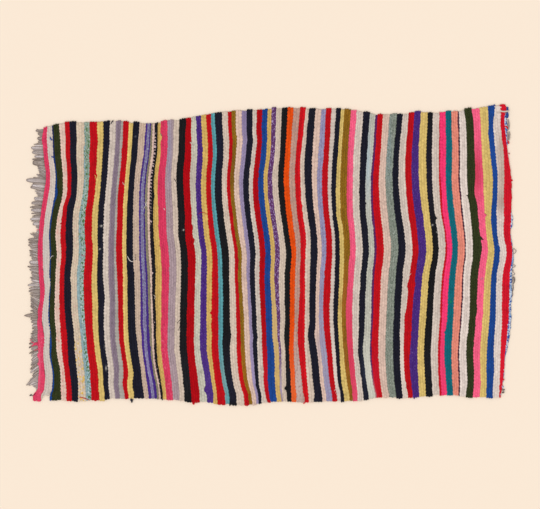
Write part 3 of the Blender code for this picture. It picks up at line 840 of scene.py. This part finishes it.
PATTERNED_RAGS = (
    ("rose_rags", {"rose": (214, 58, 93)}, rag_material(
        "worn_rose_jersey", threads=0.5, knit=0.5, folds=0.6, pattern=rising(
            specks((232, 100, 126), 190.0, 0.43, stretch=0.5, softness=0.12), start=-150, end=-350))),
    ("flecked_pink_rag", {"flecked pink": (218, 188, 172)}, rag_material(
        "flecked_sheeting", threads=0.2, knit=0.15, folds=0.8, pattern=layered(
            specks((228, 176, 164), 130.0, 0.42, stretch=0.3, softness=0.1),
            rising(specks((214, 118, 112), 150.0, 0.38, stretch=0.25, softness=0.08, shift=2.0),
                   start=-120, end=-330)))),
    ("spotted_beige_rag", {"spotted beige": (214, 194, 170)}, rag_material(
        "spotted_cotton", threads=0.18, knit=0.15, folds=0.8, pattern=layered(
            specks((216, 182, 164), 130.0, 0.4, stretch=0.7),
            rising(specks((224, 184, 92), 120.0, 0.44, stretch=0.6, shift=3.0), start=-300, end=-380)))),
    ("leaf_print_rag", {"leaf print": (144, 168, 162)}, rag_material(
        "leaf_printed_cotton", threads=0.15, knit=0.15, folds=0.8, pattern=layered(
            specks((182, 194, 182), 210.0, 0.44, stretch=0.8),
            rising(specks((196, 212, 210), 210.0, 0.46, stretch=0.8), start=0, end=-250),
            specks((82, 116, 70), 140.0, 0.46, stretch=0.6, shift=5.0)))),
    ("pale_blue_rag", {"pale blue": (140, 166, 170)}, rag_material(
        "pale_blue_cotton", threads=0.2, knit=0.2, folds=0.8, pattern=layered(
            specks((164, 188, 190), 190.0, 0.44, stretch=0.7),
            rising(specks((104, 130, 96), 180.0, 0.44, stretch=0.6, shift=8.0), start=-90, end=60)))),
    ("dashed_black_rag", {"dashed black": (190, 164, 164)}, rag_material(
        "dashed_cord", threads=0.2, knit=0.2, folds=0.5, pattern=layered(
            dashes((24, 14, 24), pitch=13.8, share=0.62, slant=0.4, uneven=1.3),
            rising(specks((28, 24, 32), 60.0, 0.66), start=300, end=150),
            rising(specks((24, 22, 30), 60.0, 0.9), start=470, end=500)))),
    ("purple_marl_rag", {"purple marl": (96, 52, 104)}, rag_material(
        "marled_jersey", threads=0.3, knit=0.25, folds=0.5, pattern=specks(
            (162, 138, 180), 230.0, 0.44, stretch=0.7))),
    ("dusty_pink_rag", {"dusty pink": (188, 146, 130)}, rag_material(
        "dusty_mottled_cotton", threads=0.3, knit=0.3, folds=0.7, pattern=specks(
            (168, 138, 132), 170.0, 0.46, stretch=0.6, softness=0.1))),
    ("sage_mottle_rag", {"sage mottle": (132, 138, 126)}, rag_material(
        "mottled_jersey", threads=0.35, knit=0.3, folds=0.6, pattern=layered(
            specks((104, 116, 102), 210.0, 0.45, stretch=0.6, softness=0.08),
            specks((158, 166, 154), 230.0, 0.42, stretch=0.6, softness=0.08, shift=3.0)))),
    ("purple_rags", {"purple": (70, 38, 118)}, rag_material(
        "mottled_purple_jersey", threads=0.5, knit=0.5, folds=0.6, pattern=specks(
            (106, 82, 146), 240.0, 0.41, stretch=0.7, softness=0.14, shift=7.0))),
    ("lilac_rags", {"lavender blue": (146, 138, 172), "faded violet": (124, 114, 150)}, rag_material(
        "mottled_lilac_cotton", threads=0.4, knit=0.32, folds=0.8, pattern=specks(
            (158, 166, 190), 230.0, 0.46, stretch=0.7, softness=0.14, shift=9.0))),
)
rags += [rag_piece(*row) for row in PATTERNED_RAGS]

# --- Warps -------------------------------------------------------------------------------------
# Grey cotton warps run the length of the rug, 167 side by side. The rags hide them all but at the
# fringe, so here they are one thin cloth of threads between the upper and the lower loops of rag.

WARP_GREY = (176, 158, 147)
WARP_SHEET_TOP, WARP_SHEET_UNDER = 2.9, 2.1
WARP_SHEET_ROWS = 41
WARP_INSET, WARP_INSET_ENDS = 6.0, 34.0  # how far the sheet stays inside the cloth's sides and ends


def warp_sheet(surface):
    """A thin closed sheet under the picks: the line of every band, inset, at an upper and a lower level.

    Y goes evenly from foot to head, and X is the line's place at that Y.
    """
    columns, rows = len(BANDS), WARP_SHEET_ROWS
    lines = np.arange(columns)[:, None]
    foot = np.array([band.foot for band in BANDS], float)[:, None] + WARP_INSET_ENDS
    head = np.array([band.head for band in BANDS], float)[:, None] - WARP_INSET_ENDS
    y = foot + (head - foot) * np.linspace(0.0, 1.0, rows)
    x = line_place(np.broadcast_to(lines, y.shape), y)
    x[0] += WARP_INSET
    x[-1] -= WARP_INSET
    points = np.concatenate([
        np.stack((x, y, np.full(x.shape, level)), axis=-1).reshape(-1, 3)
        for level in (WARP_SHEET_TOP, WARP_SHEET_UNDER)
    ])
    number = np.arange(columns * rows).reshape(columns, rows)
    here, right = number[:-1, :-1].ravel(), number[1:, :-1].ravel()
    up, across = number[:-1, 1:].ravel(), number[1:, 1:].ravel()
    tops = np.stack((here, right, across, up), axis=-1)
    under = np.stack((up, across, right, here), axis=-1) + columns * rows
    rim = np.concatenate((number[:, 0], number[-1, 1:], number[-2::-1, -1], number[0, -2:0:-1]))
    after = np.roll(rim, -1)
    walls = np.stack((rim + columns * rows, after + columns * rows, after, rim), axis=-1)
    mesh = bpy.data.meshes.new("warp_sheet")
    mesh.from_pydata((points * MM).tolist(), [], np.vstack((tops, under, walls)).tolist())
    return placed(mesh, surface)


def yarn_material(name, colour, ply):
    """Twisted cotton yarn: a fine slanting ripple of its plies over a mottled grey."""
    surface, tree, shader = plain_material(name)
    plies = {"Vector": own_place(tree), "Scale": ply, "Distortion": 3.0, "Detail": 2.0, "Detail Scale": 2.0}
    twist = new_node(tree, "ShaderNodeTexWave", plies, bands_direction="DIAGONAL").outputs["Fac"]
    ripple = mixed(tree, twist, (0.72, 0.72, 0.72, 1.0), (1.1, 1.08, 1.06, 1.0))
    rough = new_node(tree, "ShaderNodeMapRange", {"Value": twist, "To Min": 0.95, "To Max": 0.8})
    relief = {"Strength": 0.4, "Distance": 0.0004, "Height": twist}
    fill(tree, shader, {
        "Base Color": mixed(tree, 1.0, paint(colour), ripple, blend="MULTIPLY"),
        "Roughness": rough.outputs[0],
        "Normal": new_node(tree, "ShaderNodeBump", relief).outputs["Normal"],
        "Specular IOR Level": 0.15,
        "Sheen Weight": 0.2,
    })
    return surface


warps = warp_sheet(yarn_material("warp_threads", WARP_GREY, 240.0))
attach(warps, "root")
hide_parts("rug_cloth")

# --- Fringe ------------------------------------------------------------------------------------
# The warps turn back past the first rag in small loops: grey-brown yarns that curl up and cling
# together in short flat locks, painted dark at their rims as shade between the locks, with paler yarns
# between them.

# A lock has the Y of its root, the X and Y of its tip, its width, how pale its inner yarns are, and how
# blunt its tip is.
Lock = namedtuple("Lock", "root x y width pale blunt", defaults=(2.4,))
LOCKS = tuple(Lock(*row) for row in (
    (498, -938, 500, 11, 0.1, 3.0), (486, -929, 488, 14, 0.1, 4.0), (470, -931, 468, 14, 0.2, 4.0),
    (455, -928, 455, 14, 0.1, 4.0), (444, -946, 445, 5, 0.0), (439, -940, 440, 4, 1.0),
    (430, -956, 431, 15, 0.9, 3.5), (411, -952, 413, 17, 0.6, 3.0), (396, -943, 396, 13, 1.0, 4.0),
    (385, -952, 385, 8, 0.1), (370, -950, 371, 22, 0.1, 4.0), (338, -931, 358, 9, 0.3),
    (330, -930, 350, 7, 0.9), (324, -927, 342, 9, 0.4), (316, -925, 334, 7, 0.9),
    (308, -924, 326, 8, 0.3), (312, -935, 325, 9, 1.0), (298, -976, 302, 21, 0.6, 2.6),
    (306, -948, 312, 7, 0.3), (284, -950, 290, 12, 0.1), (276, -954, 281, 15, 1.0, 3.0),
    (262, -959, 274, 12, 0.3, 2.2), (250, -942, 258, 5, 0.3), (240, -936, 250, 8, 0.8),
    (234, -931, 241, 6, 0.7), (228, -944, 228, 17, 1.0, 3.0), (210, -955, 210, 15, 0.4, 3.0),
    (195, -961, 193, 12, 0.1, 1.8), (180, -956, 181, 15, 1.0, 3.0), (169, -956, 168, 6, 0.3),
    (162, -952, 157, 6, 0.1), (148, -960, 145, 14, 1.0, 2.6), (137, -956, 138, 4, 0.0),
    (127, -950, 126, 15, 0.9, 3.0), (113, -938, 115, 10, 0.9, 2.0), (97, -935, 96, 6, 1.0),
    (82, -952, 92, 5, 0.0), (76, -960, 88, 7, 0.5), (72, -948, 80, 7, 0.7), (64, -968, 63, 15, 0.15, 2.6),
    (50, -967, 52, 10, 0.3), (34, -968, 42, 11, 0.2), (24, -960, 33, 9, 1.0), (12, -964, 20, 9, 0.1),
    (3, -963, 12, 9, 1.0), (-7, -962, 2, 12, 0.3), (-16, -956, -11, 9, 0.9),
    (-28, -963, -27, 17, 1.0, 3.0), (-50, -971, -44, 12, 0.1, 1.5), (-64, -963, -56, 12, 0.4),
    (-80, -956, -69, 13, 0.3), (-88, -954, -79, 9, 1.0), (-98, -960, -88, 8, 0.1),
    (-104, -956, -98, 12, 0.9, 3.0), (-116, -970, -119, 17, 0.8, 1.8), (-130, -965, -132, 11, 0.5),
    (-142, -966, -143, 14, 0.2, 2.0), (-158, -961, -154, 12, 0.2), (-196, -959, -164, 9, 0.9),
    (-206, -958, -173, 9, 0.2), (-214, -958, -180, 9, 0.9), (-222, -957, -190, 10, 0.5),
    (-228, -959, -199, 9, 0.1), (-230, -954, -208, 8, 0.9), (-226, -959, -220, 10, 0.3),
    (-240, -984, -240, 30, 0.05, 1.15), (-256, -959, -255, 12, 0.1), (-266, -956, -266, 12, 0.4),
    (-280, -954, -280, 11, 0.7), (-288, -953, -292, 10, 0.2), (-298, -953, -304, 10, 0.9),
    (-304, -958, -315, 9, 0.1), (-312, -958, -325, 9, 1.0), (-320, -961, -336, 10, 0.3),
    (-330, -958, -344, 9, 0.8), (-340, -964, -355, 10, 0.1), (-352, -965, -370, 10, 0.1),
    (-364, -957, -378, 10, 0.9), (-376, -964, -393, 9, 0.0), (-386, -956, -404, 11, 0.4),
    (-400, -955, -421, 12, 0.5), (-410, -956, -432, 8, 1.0), (-418, -958, -441, 9, 0.3),
    (-428, -960, -458, 10, 0.1), (-442, -959, -470, 11, 0.8), (-464, -951, -484, 12, 0.1),
    (-478, -962, -500, 12, 0.5, 1.6), (-488, -976, -520, 22, 0.3, 1.2), (-500, -966, -521, 14, 0.7, 1.6),
    (-524, -948, -523, 10, 0.8), (-538, -936, -540, 10, 0.4),
))
# YARN_RIM is the darker colour of each lock's outer loop: painted shade along the rim where locks meet.
YARN_RIM, YARN_GREY, YARN_PALE = (126, 111, 103), (166, 150, 139), (222, 211, 210)
YARN_WIDTH = 3.5
YARN_SIDES = 6
YARN_RINGS = 25
YARN_CLEAR = 0.05  # what keeps the yarns off the floor
UNDER_YARNS = 260
UNDER_FOOT, UNDER_HEAD = -556.0, 503.0  # where the row of short yarns starts and ends
ROOT_INSET = 6.0  # how far inside the first rag the yarns start
ROOT_DARK, ROOT_SHADE = 0.2, 0.45  # how much of a yarn the rag's edge shades, and how deeply
RIM_GREY, RIM_PALE = 0.25, 0.3  # how much of the inner yarns' grey and of their paleness a rim shows
ROOT_SPREAD = 0.25  # how much wider a loop is at its root
YARN_SHADES = (0.92, 1.08)
LOOP_LOW, LOOP_CURL = 0.3, 1.6  # how high the loops lie over the floor, and how far they curl up
NARROWEST_LOOP = 0.6
UNDER_LENGTHS = (0.62, 0.92)  # of the nearest locks' reach
UNDER_LOW = 0.1  # how high the short yarns lie over the floor
UNDER_SIZES, UNDER_PALE = (0.85, 1.1), (0.0, 0.8)
UNDER_SHADE, UNDER_ROOT_SHADE = 0.9, 0.4


def yarn_tubes(paths, radius, sides):
    """Corners of tubes round (tube, ring, xyz) paths.

    The side vector is level and square to the path, the other is square to both, and corner k lies at
    the angle 2 pi k / sides between them.
    """
    run = np.gradient(paths, axis=1)
    run /= np.maximum(np.linalg.norm(run, axis=2, keepdims=True), 1e-6)
    side = np.stack((run[..., 1], -run[..., 0], np.zeros(run.shape[:2])), axis=-1)
    side /= np.maximum(np.linalg.norm(side, axis=2, keepdims=True), 1e-6)
    up = np.cross(side, run)
    turn = -2 * np.pi * np.arange(sides) / sides
    ring = np.cos(turn)[:, None] * side[:, :, None, :] + np.sin(turn)[:, None] * up[:, :, None, :]
    return paths[:, :, None, :] + radius[..., None, None] * ring


def lock_loops(draw):
    """Paths, radii and colours of the looped yarns, nested one inside another in their locks.

    A lock's middle line goes evenly in x from its root to its tip while y takes r^1.5 of the way. The
    loop stands off it at a right angle by v half widths, where r and v go round r^n + |v|^n = 1 with n
    the lock's bluntness. Each inner loop is a yarn narrower and shorter. The rim is painted the darkest
    loop, as painted shade along the lock's edge, and all are painted darker at the root, as the shade
    of the rag's edge.
    """
    nested = [(lock, turn) for lock in LOCKS for turn in range(max(1, round(lock.width / 2 / YARN_WIDTH)))]
    turn = np.array([turn for _, turn in nested], float)[:, None]
    root, x, y, width, pale, blunt = np.array([lock for lock, _ in nested], float).T[..., None]
    start = line_place(np.zeros(root.shape, int), root) + ROOT_INSET
    length = np.hypot(x - start, y - root)
    short = 1.0 - (turn + 0.5) * YARN_WIDTH / length
    half = np.maximum(width / 2 - (turn + 0.5) * YARN_WIDTH, NARROWEST_LOOP)
    angle = np.linspace(-np.pi / 2, np.pi / 2, YARN_RINGS)[None, :]
    r = short * np.maximum(np.cos(angle), 0.0) ** (2 / blunt)
    v = np.sign(np.sin(angle)) * np.abs(np.sin(angle)) ** (2 / blunt)
    lean = 1.5 * np.sqrt(r) * (y - root) / (x - start)
    off = half * v * (1.0 + ROOT_SPREAD * (1.0 - r))
    wave = drift(draw, len(nested), YARN_RINGS, knots=7, amount=0.5)
    path_x = start + (x - start) * r - off * lean / np.sqrt(1 + lean**2)
    path_y = root + (y - root) * r**1.5 + off / np.sqrt(1 + lean**2) + wave
    radius = YARN_WIDTH / 2 * (1.0 + drift(draw, len(nested), YARN_RINGS, knots=5, amount=0.08))
    curl = draw.uniform(0.0, LOOP_CURL, (len(nested), 1)) * np.clip(3 * r, 0.0, 1.0)
    height = YARN_WIDTH / 2 + LOOP_LOW + curl
    # The outer loop of a lock is painted darker than the inner ones: painted shade along its rim.
    inner = (turn > 0) | (width < 1.5 * YARN_WIDTH)
    grey = np.where(inner, 1.0, RIM_GREY)[..., None]
    dye_and_shade = linear(YARN_RIM) + (linear(YARN_GREY) - linear(YARN_RIM)) * grey
    dye_and_shade = dye_and_shade + (linear(YARN_PALE) - dye_and_shade) * (pale * np.where(inner, 1.0, RIM_PALE))[..., None]
    shade = draw.uniform(*YARN_SHADES, (len(nested), 1))
    shade = shade * (1.0 - ROOT_SHADE * np.exp(-((r / ROOT_DARK) ** 2)))
    return np.stack((path_x, path_y, height), axis=-1), radius, dye_and_shade * shade[..., None]


def under_yarns(draw):
    """Paths, radii and colours of the short yarns that close the gaps under the locks' roots.

    Each goes evenly in x, by its own share of the nearest locks' reach, and in y by t^1.5 of their
    lean. It thins towards its tip as sqrt(1 - 0.8 t^8).
    """
    rows = sorted(LOCKS)
    root_y = np.linspace(UNDER_FOOT, UNDER_HEAD, UNDER_YARNS)
    reach, lean = (
        np.interp(root_y, [lock.root for lock in rows], values)
        for values in ([lock.x for lock in rows], [lock.y - lock.root for lock in rows])
    )
    start = line_place(np.zeros(UNDER_YARNS, int), root_y) + ROOT_INSET
    share = draw.uniform(*UNDER_LENGTHS, UNDER_YARNS)
    t = np.linspace(0.0, 1.0, YARN_RINGS)
    x = start[:, None] + ((reach - start) * share)[:, None] * t
    wave = drift(draw, UNDER_YARNS, YARN_RINGS, knots=3, amount=0.8)
    y = root_y[:, None] + (lean * share)[:, None] * t**1.5 + wave
    radius = 0.5 * YARN_WIDTH * np.sqrt(1.0 - 0.8 * t**8) * draw.uniform(*UNDER_SIZES, (UNDER_YARNS, 1))
    pale = draw.uniform(*UNDER_PALE, (UNDER_YARNS, 1, 1))
    shade = UNDER_SHADE - UNDER_ROOT_SHADE * np.exp(-((t / ROOT_DARK) ** 2))
    dye_and_shade = (linear(YARN_GREY) * (1 - pale) + linear(YARN_PALE) * pale) * shade[None, :, None]
    return np.stack((x, y, np.full(x.shape, YARN_WIDTH / 2 + UNDER_LOW)), axis=-1), radius, dye_and_shade


def build_fringe(surface):
    """The looped yarns and the short ones under them, in one object that keeps off the floor."""
    draw = np.random.default_rng(17)
    paths, radius, dye_and_shade = (np.concatenate(both) for both in zip(lock_loops(draw), under_yarns(draw)))
    corners = yarn_tubes(paths, radius, YARN_SIDES)
    corners[..., 2] = np.maximum(corners[..., 2], YARN_CLEAR)
    return tube_object("fringe_yarns", corners, dye_and_shade[:, :, None, :], surface)


YARN = rag_material("frayed_yarn", threads=0.12, knit=0.12, folds=0.3, faded=0.15)
fringe = build_fringe(YARN)
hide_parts("warp_fringe")

# --- Printed end rag ---------------------------------------------------------------------------
# The last pick is a scrap of white cotton printed with blue, crushed under the crimson rag, with the
# warps' knotted stubs looped over it in grey.

# How far the rag shows past the last line, as (along, width).
END_RAG = np.array((
    (-562, 0), (-536, 0), (-528, 8), (-518, 1), (-406, 1.5), (-370, 8), (-350, 9), (-334, 11), (-310, 11),
    (-258, 12), (-238, 9), (-202, 9), (-174, 11), (-126, 11), (-86, 10), (-38, 9), (-10, 7), (10, 4),
    (34, 2), (102, 1.5), (118, 8), (150, 9), (170, 2), (200, -2), (370, -2), (438, 1.5), (454, 5),
    (482, 8), (518, 9), (550, 12), (570, 10),
), float)
END_RAG_RINGS = 300
END_RAG_HIDDEN = 6.0  # how far it reaches in under the crimson rag
END_RAG_LEVEL, END_RAG_HALF_HEIGHT, END_RAG_CLEAR = 3.0, 2.2, 0.2
END_RAG_CRUMPLE = 0.35
END_RAG_WHITE = (206, 212, 224)


def build_end_rag(surface):
    """A crushed tube of the rags' SECTION along the last line.

    Its inner side is hidden and its outer one follows END_RAG, both with random crumples.
    """
    draw = np.random.default_rng(23)
    y = np.linspace(END_RAG[0, 0], END_RAG[-1, 0], END_RAG_RINGS)
    low = line_place(np.full(END_RAG_RINGS, len(BANDS) - 1), y) - END_RAG_HIDDEN
    width = np.interp(y, END_RAG[:, 0], END_RAG[:, 1]) + END_RAG_HIDDEN
    width = width + drift(draw, 1, END_RAG_RINGS, knots=120, amount=0.9)[0]
    high = low + np.maximum(width, END_RAG_HIDDEN / 2)
    half = (high - low) / 2
    level = END_RAG_LEVEL + drift(draw, 1, END_RAG_RINGS, knots=90, amount=0.35)[0]
    corners = np.empty((1, END_RAG_RINGS, len(SECTION), 3))
    corners[0, :, :, 0] = ((low + high) / 2)[:, None] + half[:, None] * SECTION[:, 0]
    corners[0, :, :, 1] = y[:, None]
    corners[0, :, :, 2] = level[:, None] + END_RAG_HALF_HEIGHT * SECTION[:, 1]
    corners += draw.normal(0.0, END_RAG_CRUMPLE, corners.shape)
    corners[..., 2] = np.maximum(corners[..., 2], END_RAG_CLEAR)
    dye_and_shade = np.broadcast_to(linear(END_RAG_WHITE), corners.shape)
    return tube_object("printed_end_rag", corners, dye_and_shade, surface)


PRINT = rag_material("blue_printed_cotton", threads=0.15, knit=0.15, folds=0.9, pattern=layered(
    specks((150, 176, 206), 90.0, 0.52, stretch=0.7, softness=0.08),
    specks((52, 88, 164), 160.0, 0.49, stretch=0.8, shift=4.0)))
end_rag = build_end_rag(PRINT)
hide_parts("end_rag")

# --- Loose threads, nubs and knots -------------------------------------------------------------
# Strips were joined by knots and overlaps, and their frayed ends and stray threads stick out of the
# weave. They lie on it and on the fringe, and the warps' stubs are knotted over the end rag.

# A thread has its cloth, half its thickness, three places that it passes, and how far it is held up.
Thread = namedtuple("Thread", "cloth thick start middle end lift", defaults=(0.0,))
THREADS = tuple(
    Thread(cloth, *thread)
    for cloth, *threads in (
        # Stray threads that lie on the weave.
        ("white", (1.0, (-880, -16), (-874, -4), (-866, -2)),
         (0.8, (-590, 294), (-586, 286), (-579, 280)), (0.8, (-490, 224), (-498, 202), (-507, 182)),
         (0.8, (-502, 214), (-494, 200), (-488, 196)), (1.6, (-425, 190), (-423, 186), (-420, 182)),
         (1.7, (-570, -2), (-560, -20), (-546, -24)), (0.8, (-548, 0), (-544, -12), (-538, -22))),
        ("pink", (0.7, (-754, 4), (-748, -2), (-738, 2))),
        ("red", (0.8, (-286, 166), (-270, 173), (-254, 166))),
        ("white", (1.2, (552, -88), (558, -78), (565, -72))),
        ("red", (1.5, (-764, -567), (-744, -570), (-722, -580))),
        ("white", (1.4, (258, -542), (266, -534), (272, -552)),
         (1.0, (262, -550), (268, -546), (270, -560))),
        ("black", (1.0, (-358, -258), (-364, -262), (-371, -272)),
         (1.0, (-356, -280), (-362, -288), (-366, -300))),
        ("cream", (1.0, (-466, -158), (-460, -164), (-463, -174))),
        ("navy", (1.0, (-384, 308), (-380, 302), (-375, 292))),
        ("white", (1.2, (-320, 454), (-314, 446), (-309, 436)),
         (1.0, (-312, 440), (-308, 430), (-312, 422))),
        ("yellow", (1.4, (-702, 322), (-697, 316), (-700, 308))),
        # Nubs of rag pushed up between two picks.
        ("blue", (2.2, (-880, 474), (-877, 468), (-872, 462)),
         (1.4, (-878, 466), (-876, 464), (-874, 460)), (2.6, (-874, 396), (-870, 394), (-865, 392))),
        ("red", (1.6, (-840, 128), (-837, 127), (-833, 126)), (1.6, (-132, -18), (-128, -19), (-124, -20))),
        # Tufts at the foot and the head.
        ("navy", (5.2, (-559, -575), (-554, -578), (-549, -580)),
         (3.0, (-556, -584), (-553, -586), (-551, -587))),
        ("black", (5.0, (60, -526), (63, -532), (66, -536)),
         (3.0, (-160, -586), (-160, -594), (-161, -602)), (2.6, (-150, -588), (-148, -595), (-147, -600)),
         (2.4, (-140, -588), (-138, -595), (-137, -599))),
        ("red", (4.4, (-309, -586), (-306, -592), (-306, -596)),
         (3.4, (-94, -590), (-92, -596), (-91, -602))),
        ("crimson", (2.4, (142, -584), (137, -590), (133, -592))),
        ("purple", (2.6, (578, -560), (576, -568), (578, -574))),
        ("navy", (2.2, (-636, 526), (-631, 536), (-626, 540))),
        ("blue", (2.0, (892, 596), (896, 602), (900, 603))),
        # The torn corner of the last rags, and the warps' stubs and knots along the end rag.
        ("cream", (3.0, (916, 577), (937, 576), (957, 579), 4.6)),
        ("blue", (3.6, (946, 591), (950, 591), (954, 590)), (3.6, (946, 584), (950, 584), (954, 584))),
        ("print", (4.6, (948, 574), (950, 562), (949, 550))),
        ("yarn", (3.2, (952, 545), (955, 525), (954, 502)), (3.0, (948, 498), (950, 480), (950, 464)),
         (3.4, (956, 496), (958, 480), (955, 460))),
        ("crimson", (3.8, (940, 518), (947, 513), (951, 507)), (2.8, (948, 460), (954, 454), (955, 446)),
         (2.0, (954, 410), (957, 408), (958, 405)), (2.2, (964, 304), (968, 301), (970, 297))),
        ("yarn", (1.5, (972, 30), (984, 17), (972, 5)), (1.3, (974, 26), (972, 17), (975, 9)),
         (1.5, (968, -34), (981, -42), (968, -50)), (1.5, (970, -64), (979, -74), (967, -80))),
        ("knot", (2.6, (974, -84), (978, -98), (973, -114))),
        ("yarn", (2.2, (969, -84), (971, -98), (967, -112)), (1.5, (970, -56), (972, -60), (974, -64))),
        ("knot", (1.8, (971, -114), (973, -132), (968, -148))),
        ("yarn", (1.6, (968, -144), (971, -156), (966, -168))),
        ("crimson", (1.5, (944, -330), (951, -334), (957, -336)),
         (2.0, (932, -492), (935, -496), (937, -500))),
        ("knot", (2.2, (926, -537), (933, -537), (940, -536))),
        ("yarn", (2.2, (930, -543), (934, -543), (938, -542))),
        ("knot", (2.6, (928, -549), (932, -549), (938, -548))),
        # Torn ends that lie on the fringe.
        ("rose", (1.8, (-926, -346), (-944, -350), (-960, -340)),
         (3.2, (-924, -362), (-938, -356), (-954, -364)), (2.0, (-924, -354), (-936, -352), (-948, -356)),
         (1.8, (-922, -368), (-932, -376), (-944, -378)), (1.2, (-948, -334), (-954, -338), (-958, -336)),
         (1.1, (-918, 108), (-926, 104), (-936, 102))),
        ("navy", (1.0, (-938, -550), (-948, -560), (-958, -558)),
         (2.6, (-954, -556), (-958, -559), (-962, -561))),
        ("cream", (1.3, (-912, -556), (-914, -566), (-914, -576)),
         (1.3, (-904, -548), (-908, -558), (-912, -572)), (1.3, (-884, -550), (-882, -556), (-880, -562))),
        # Frayed places.
        ("dark", (2.2, (786, 240), (790, 239), (794, 236))),
        ("olive", (2.2, (842, 68), (848, 66), (854, 62))),
    )
    for thread in threads
)
THREAD_COLOURS = {
    "white": (222, 212, 204), "cream": (216, 201, 187), "pink": (238, 92, 136), "red": (193, 14, 28),
    "crimson": (208, 20, 40), "yarn": (158, 144, 140), "knot": (112, 102, 100), "print": (44, 72, 142),
    "rose": (224, 74, 106), "black": (23, 23, 25), "navy": (25, 27, 45), "blue": (27, 71, 151),
    "yellow": (218, 188, 102), "purple": (76, 42, 122), "olive": (48, 54, 26), "dark": (40, 44, 24),
}
CLOTH_TOP, BESIDE_CLOTH, FALL = 7.6, 3.4, 8.0  # heights over the floor, and the way between them
THREAD_RINGS, THREAD_SIDES = 11, 6
THREAD_TIP = 0.45  # how thick a thread is where it would end, beside its middle
THREAD_CRINKLE = 0.25
THREAD_RAISED = 0.2  # how far a thread's middle is over the cloth, of its thickness


def cloth_height(flat):
    """Height to lie at: CLOTH_TOP on the cloth, going evenly down to BESIDE_CLOTH over its edge."""
    x, y = flat[..., 0], flat[..., 1]
    first = np.zeros(x.shape, int)
    left, right = line_place(first, y), line_place(first + len(BANDS) - 1, y)
    foot = np.interp(x, LINES[:, 0], [band.foot for band in BANDS])
    head = np.interp(x, LINES[:, -1], [band.head for band in BANDS])
    inside = np.minimum(np.minimum(x - left, right - x), np.minimum(y - foot, head - y))
    return BESIDE_CLOTH + (CLOTH_TOP - BESIDE_CLOTH) * np.clip(inside / FALL + 0.5, 0.0, 1.0)


def build_threads(surface):
    """Curves from start to end through the middle place, thinner at both ends.

    A place at t is (1 - t)^2 start + 2 t (1 - t) bend + t^2 end, with the bend put so that the curve
    meets the middle place at t = 0.5. The radius follows a sine that is cut off just before its ends.
    """
    draw = np.random.default_rng(29)
    t = np.linspace(0.0, 1.0, THREAD_RINGS)[None, :, None]
    start, middle, end = (
        np.array([getattr(thread, name) for thread in THREADS], float)[:, None, :]
        for name in ("start", "middle", "end")
    )
    bend = 2 * middle - (start + end) / 2
    flat = (1 - t) ** 2 * start + 2 * t * (1 - t) * bend + t**2 * end
    flat = flat + draw.normal(0.0, THREAD_CRINKLE, flat.shape)
    thick = np.array([thread.thick for thread in THREADS])[:, None]
    radius = thick * (THREAD_TIP + (1 - THREAD_TIP) * np.sin(np.pi * (0.08 + 0.84 * t[..., 0])))
    lift = np.array([thread.lift for thread in THREADS])[:, None]
    level = np.maximum(cloth_height(flat) + THREAD_RAISED * thick, thick + LOWEST) + lift
    corners = yarn_tubes(np.concatenate((flat, level[..., None]), axis=-1), radius, THREAD_SIDES)
    colours = np.array([linear(THREAD_COLOURS[thread.cloth]) for thread in THREADS])
    dye_and_shade = np.broadcast_to(colours[:, None, None, :], corners.shape)
    return tube_object("loose_threads", corners, dye_and_shade, surface)


threads = build_threads(YARN)

# --- Floor, light and camera -------------------------------------------------------------------
# A plain pale floor under even studio light, and a long lens high above the rug's middle.

PIXEL = 4.0  # mm of the floor in one pixel of the photograph
PHOTO_WIDTH, PHOTO_HEIGHT = 540, 509
MIDDLE_X, MIDDLE_Y = 270.0, 255.5  # the rug frame's origin in the photograph
CAMERA_HEIGHT = 12.0  # metres over the level of the rug that PIXEL is true at
PIXEL_LEVEL = 0.006
FLOOR_COLOUR = (254, 236, 216)
FLOOR_REACH = 40.0  # metres, so that no view from the side shows its end
SKY_STRENGTH = 0.72
SUN_STRENGTH, SUN_SOFTNESS, SUN_TILT = 0.95, 0.9, (0.35, -0.45, 0.0)

floor_mesh = bpy.data.meshes.new("floor")
floor_corners = FLOOR_REACH * np.array(((-1, -1, 0), (1, -1, 0), (1, 1, 0), (-1, 1, 0)))
floor_mesh.from_pydata(floor_corners.tolist(), [], [(0, 1, 2, 3)])
floor_paint, floor_tree, floor_shader = plain_material("floor_paint")
fill(floor_tree, floor_shader, {
    "Base Color": paint(FLOOR_COLOUR),
    "Roughness": 1.0,
    "Specular IOR Level": 0.0,
})
floor = placed(floor_mesh, floor_paint)

scene = bpy.context.scene
scene.view_settings.view_transform = "Standard"
world = bpy.data.worlds.new("studio")
world.use_nodes = True
sky = {"Color": (1.0, 1.0, 1.0, 1.0), "Strength": SKY_STRENGTH}
fill(world.node_tree, world.node_tree.nodes["Background"], sky)
scene.world = world

sun = bpy.data.lights.new("soft_sun", "SUN")
sun.energy = SUN_STRENGTH
sun.angle = SUN_SOFTNESS
lamp = bpy.data.objects.new("soft_sun", sun)
lamp.rotation_euler = SUN_TILT
scene.collection.objects.link(lamp)

lens = bpy.data.cameras.new("camera")
lens.sensor_width = 36.0
lens.lens = lens.sensor_width * CAMERA_HEIGHT / (PHOTO_WIDTH * PIXEL * MM)
lens.clip_end = 100.0
camera = bpy.data.objects.new("camera", lens)
camera.location = (
    (PHOTO_WIDTH / 2 - MIDDLE_X) * PIXEL * MM,
    (MIDDLE_Y - PHOTO_HEIGHT / 2) * PIXEL * MM,
    CAMERA_HEIGHT + PIXEL_LEVEL,
)
scene.collection.objects.link(camera)
scene.camera = camera
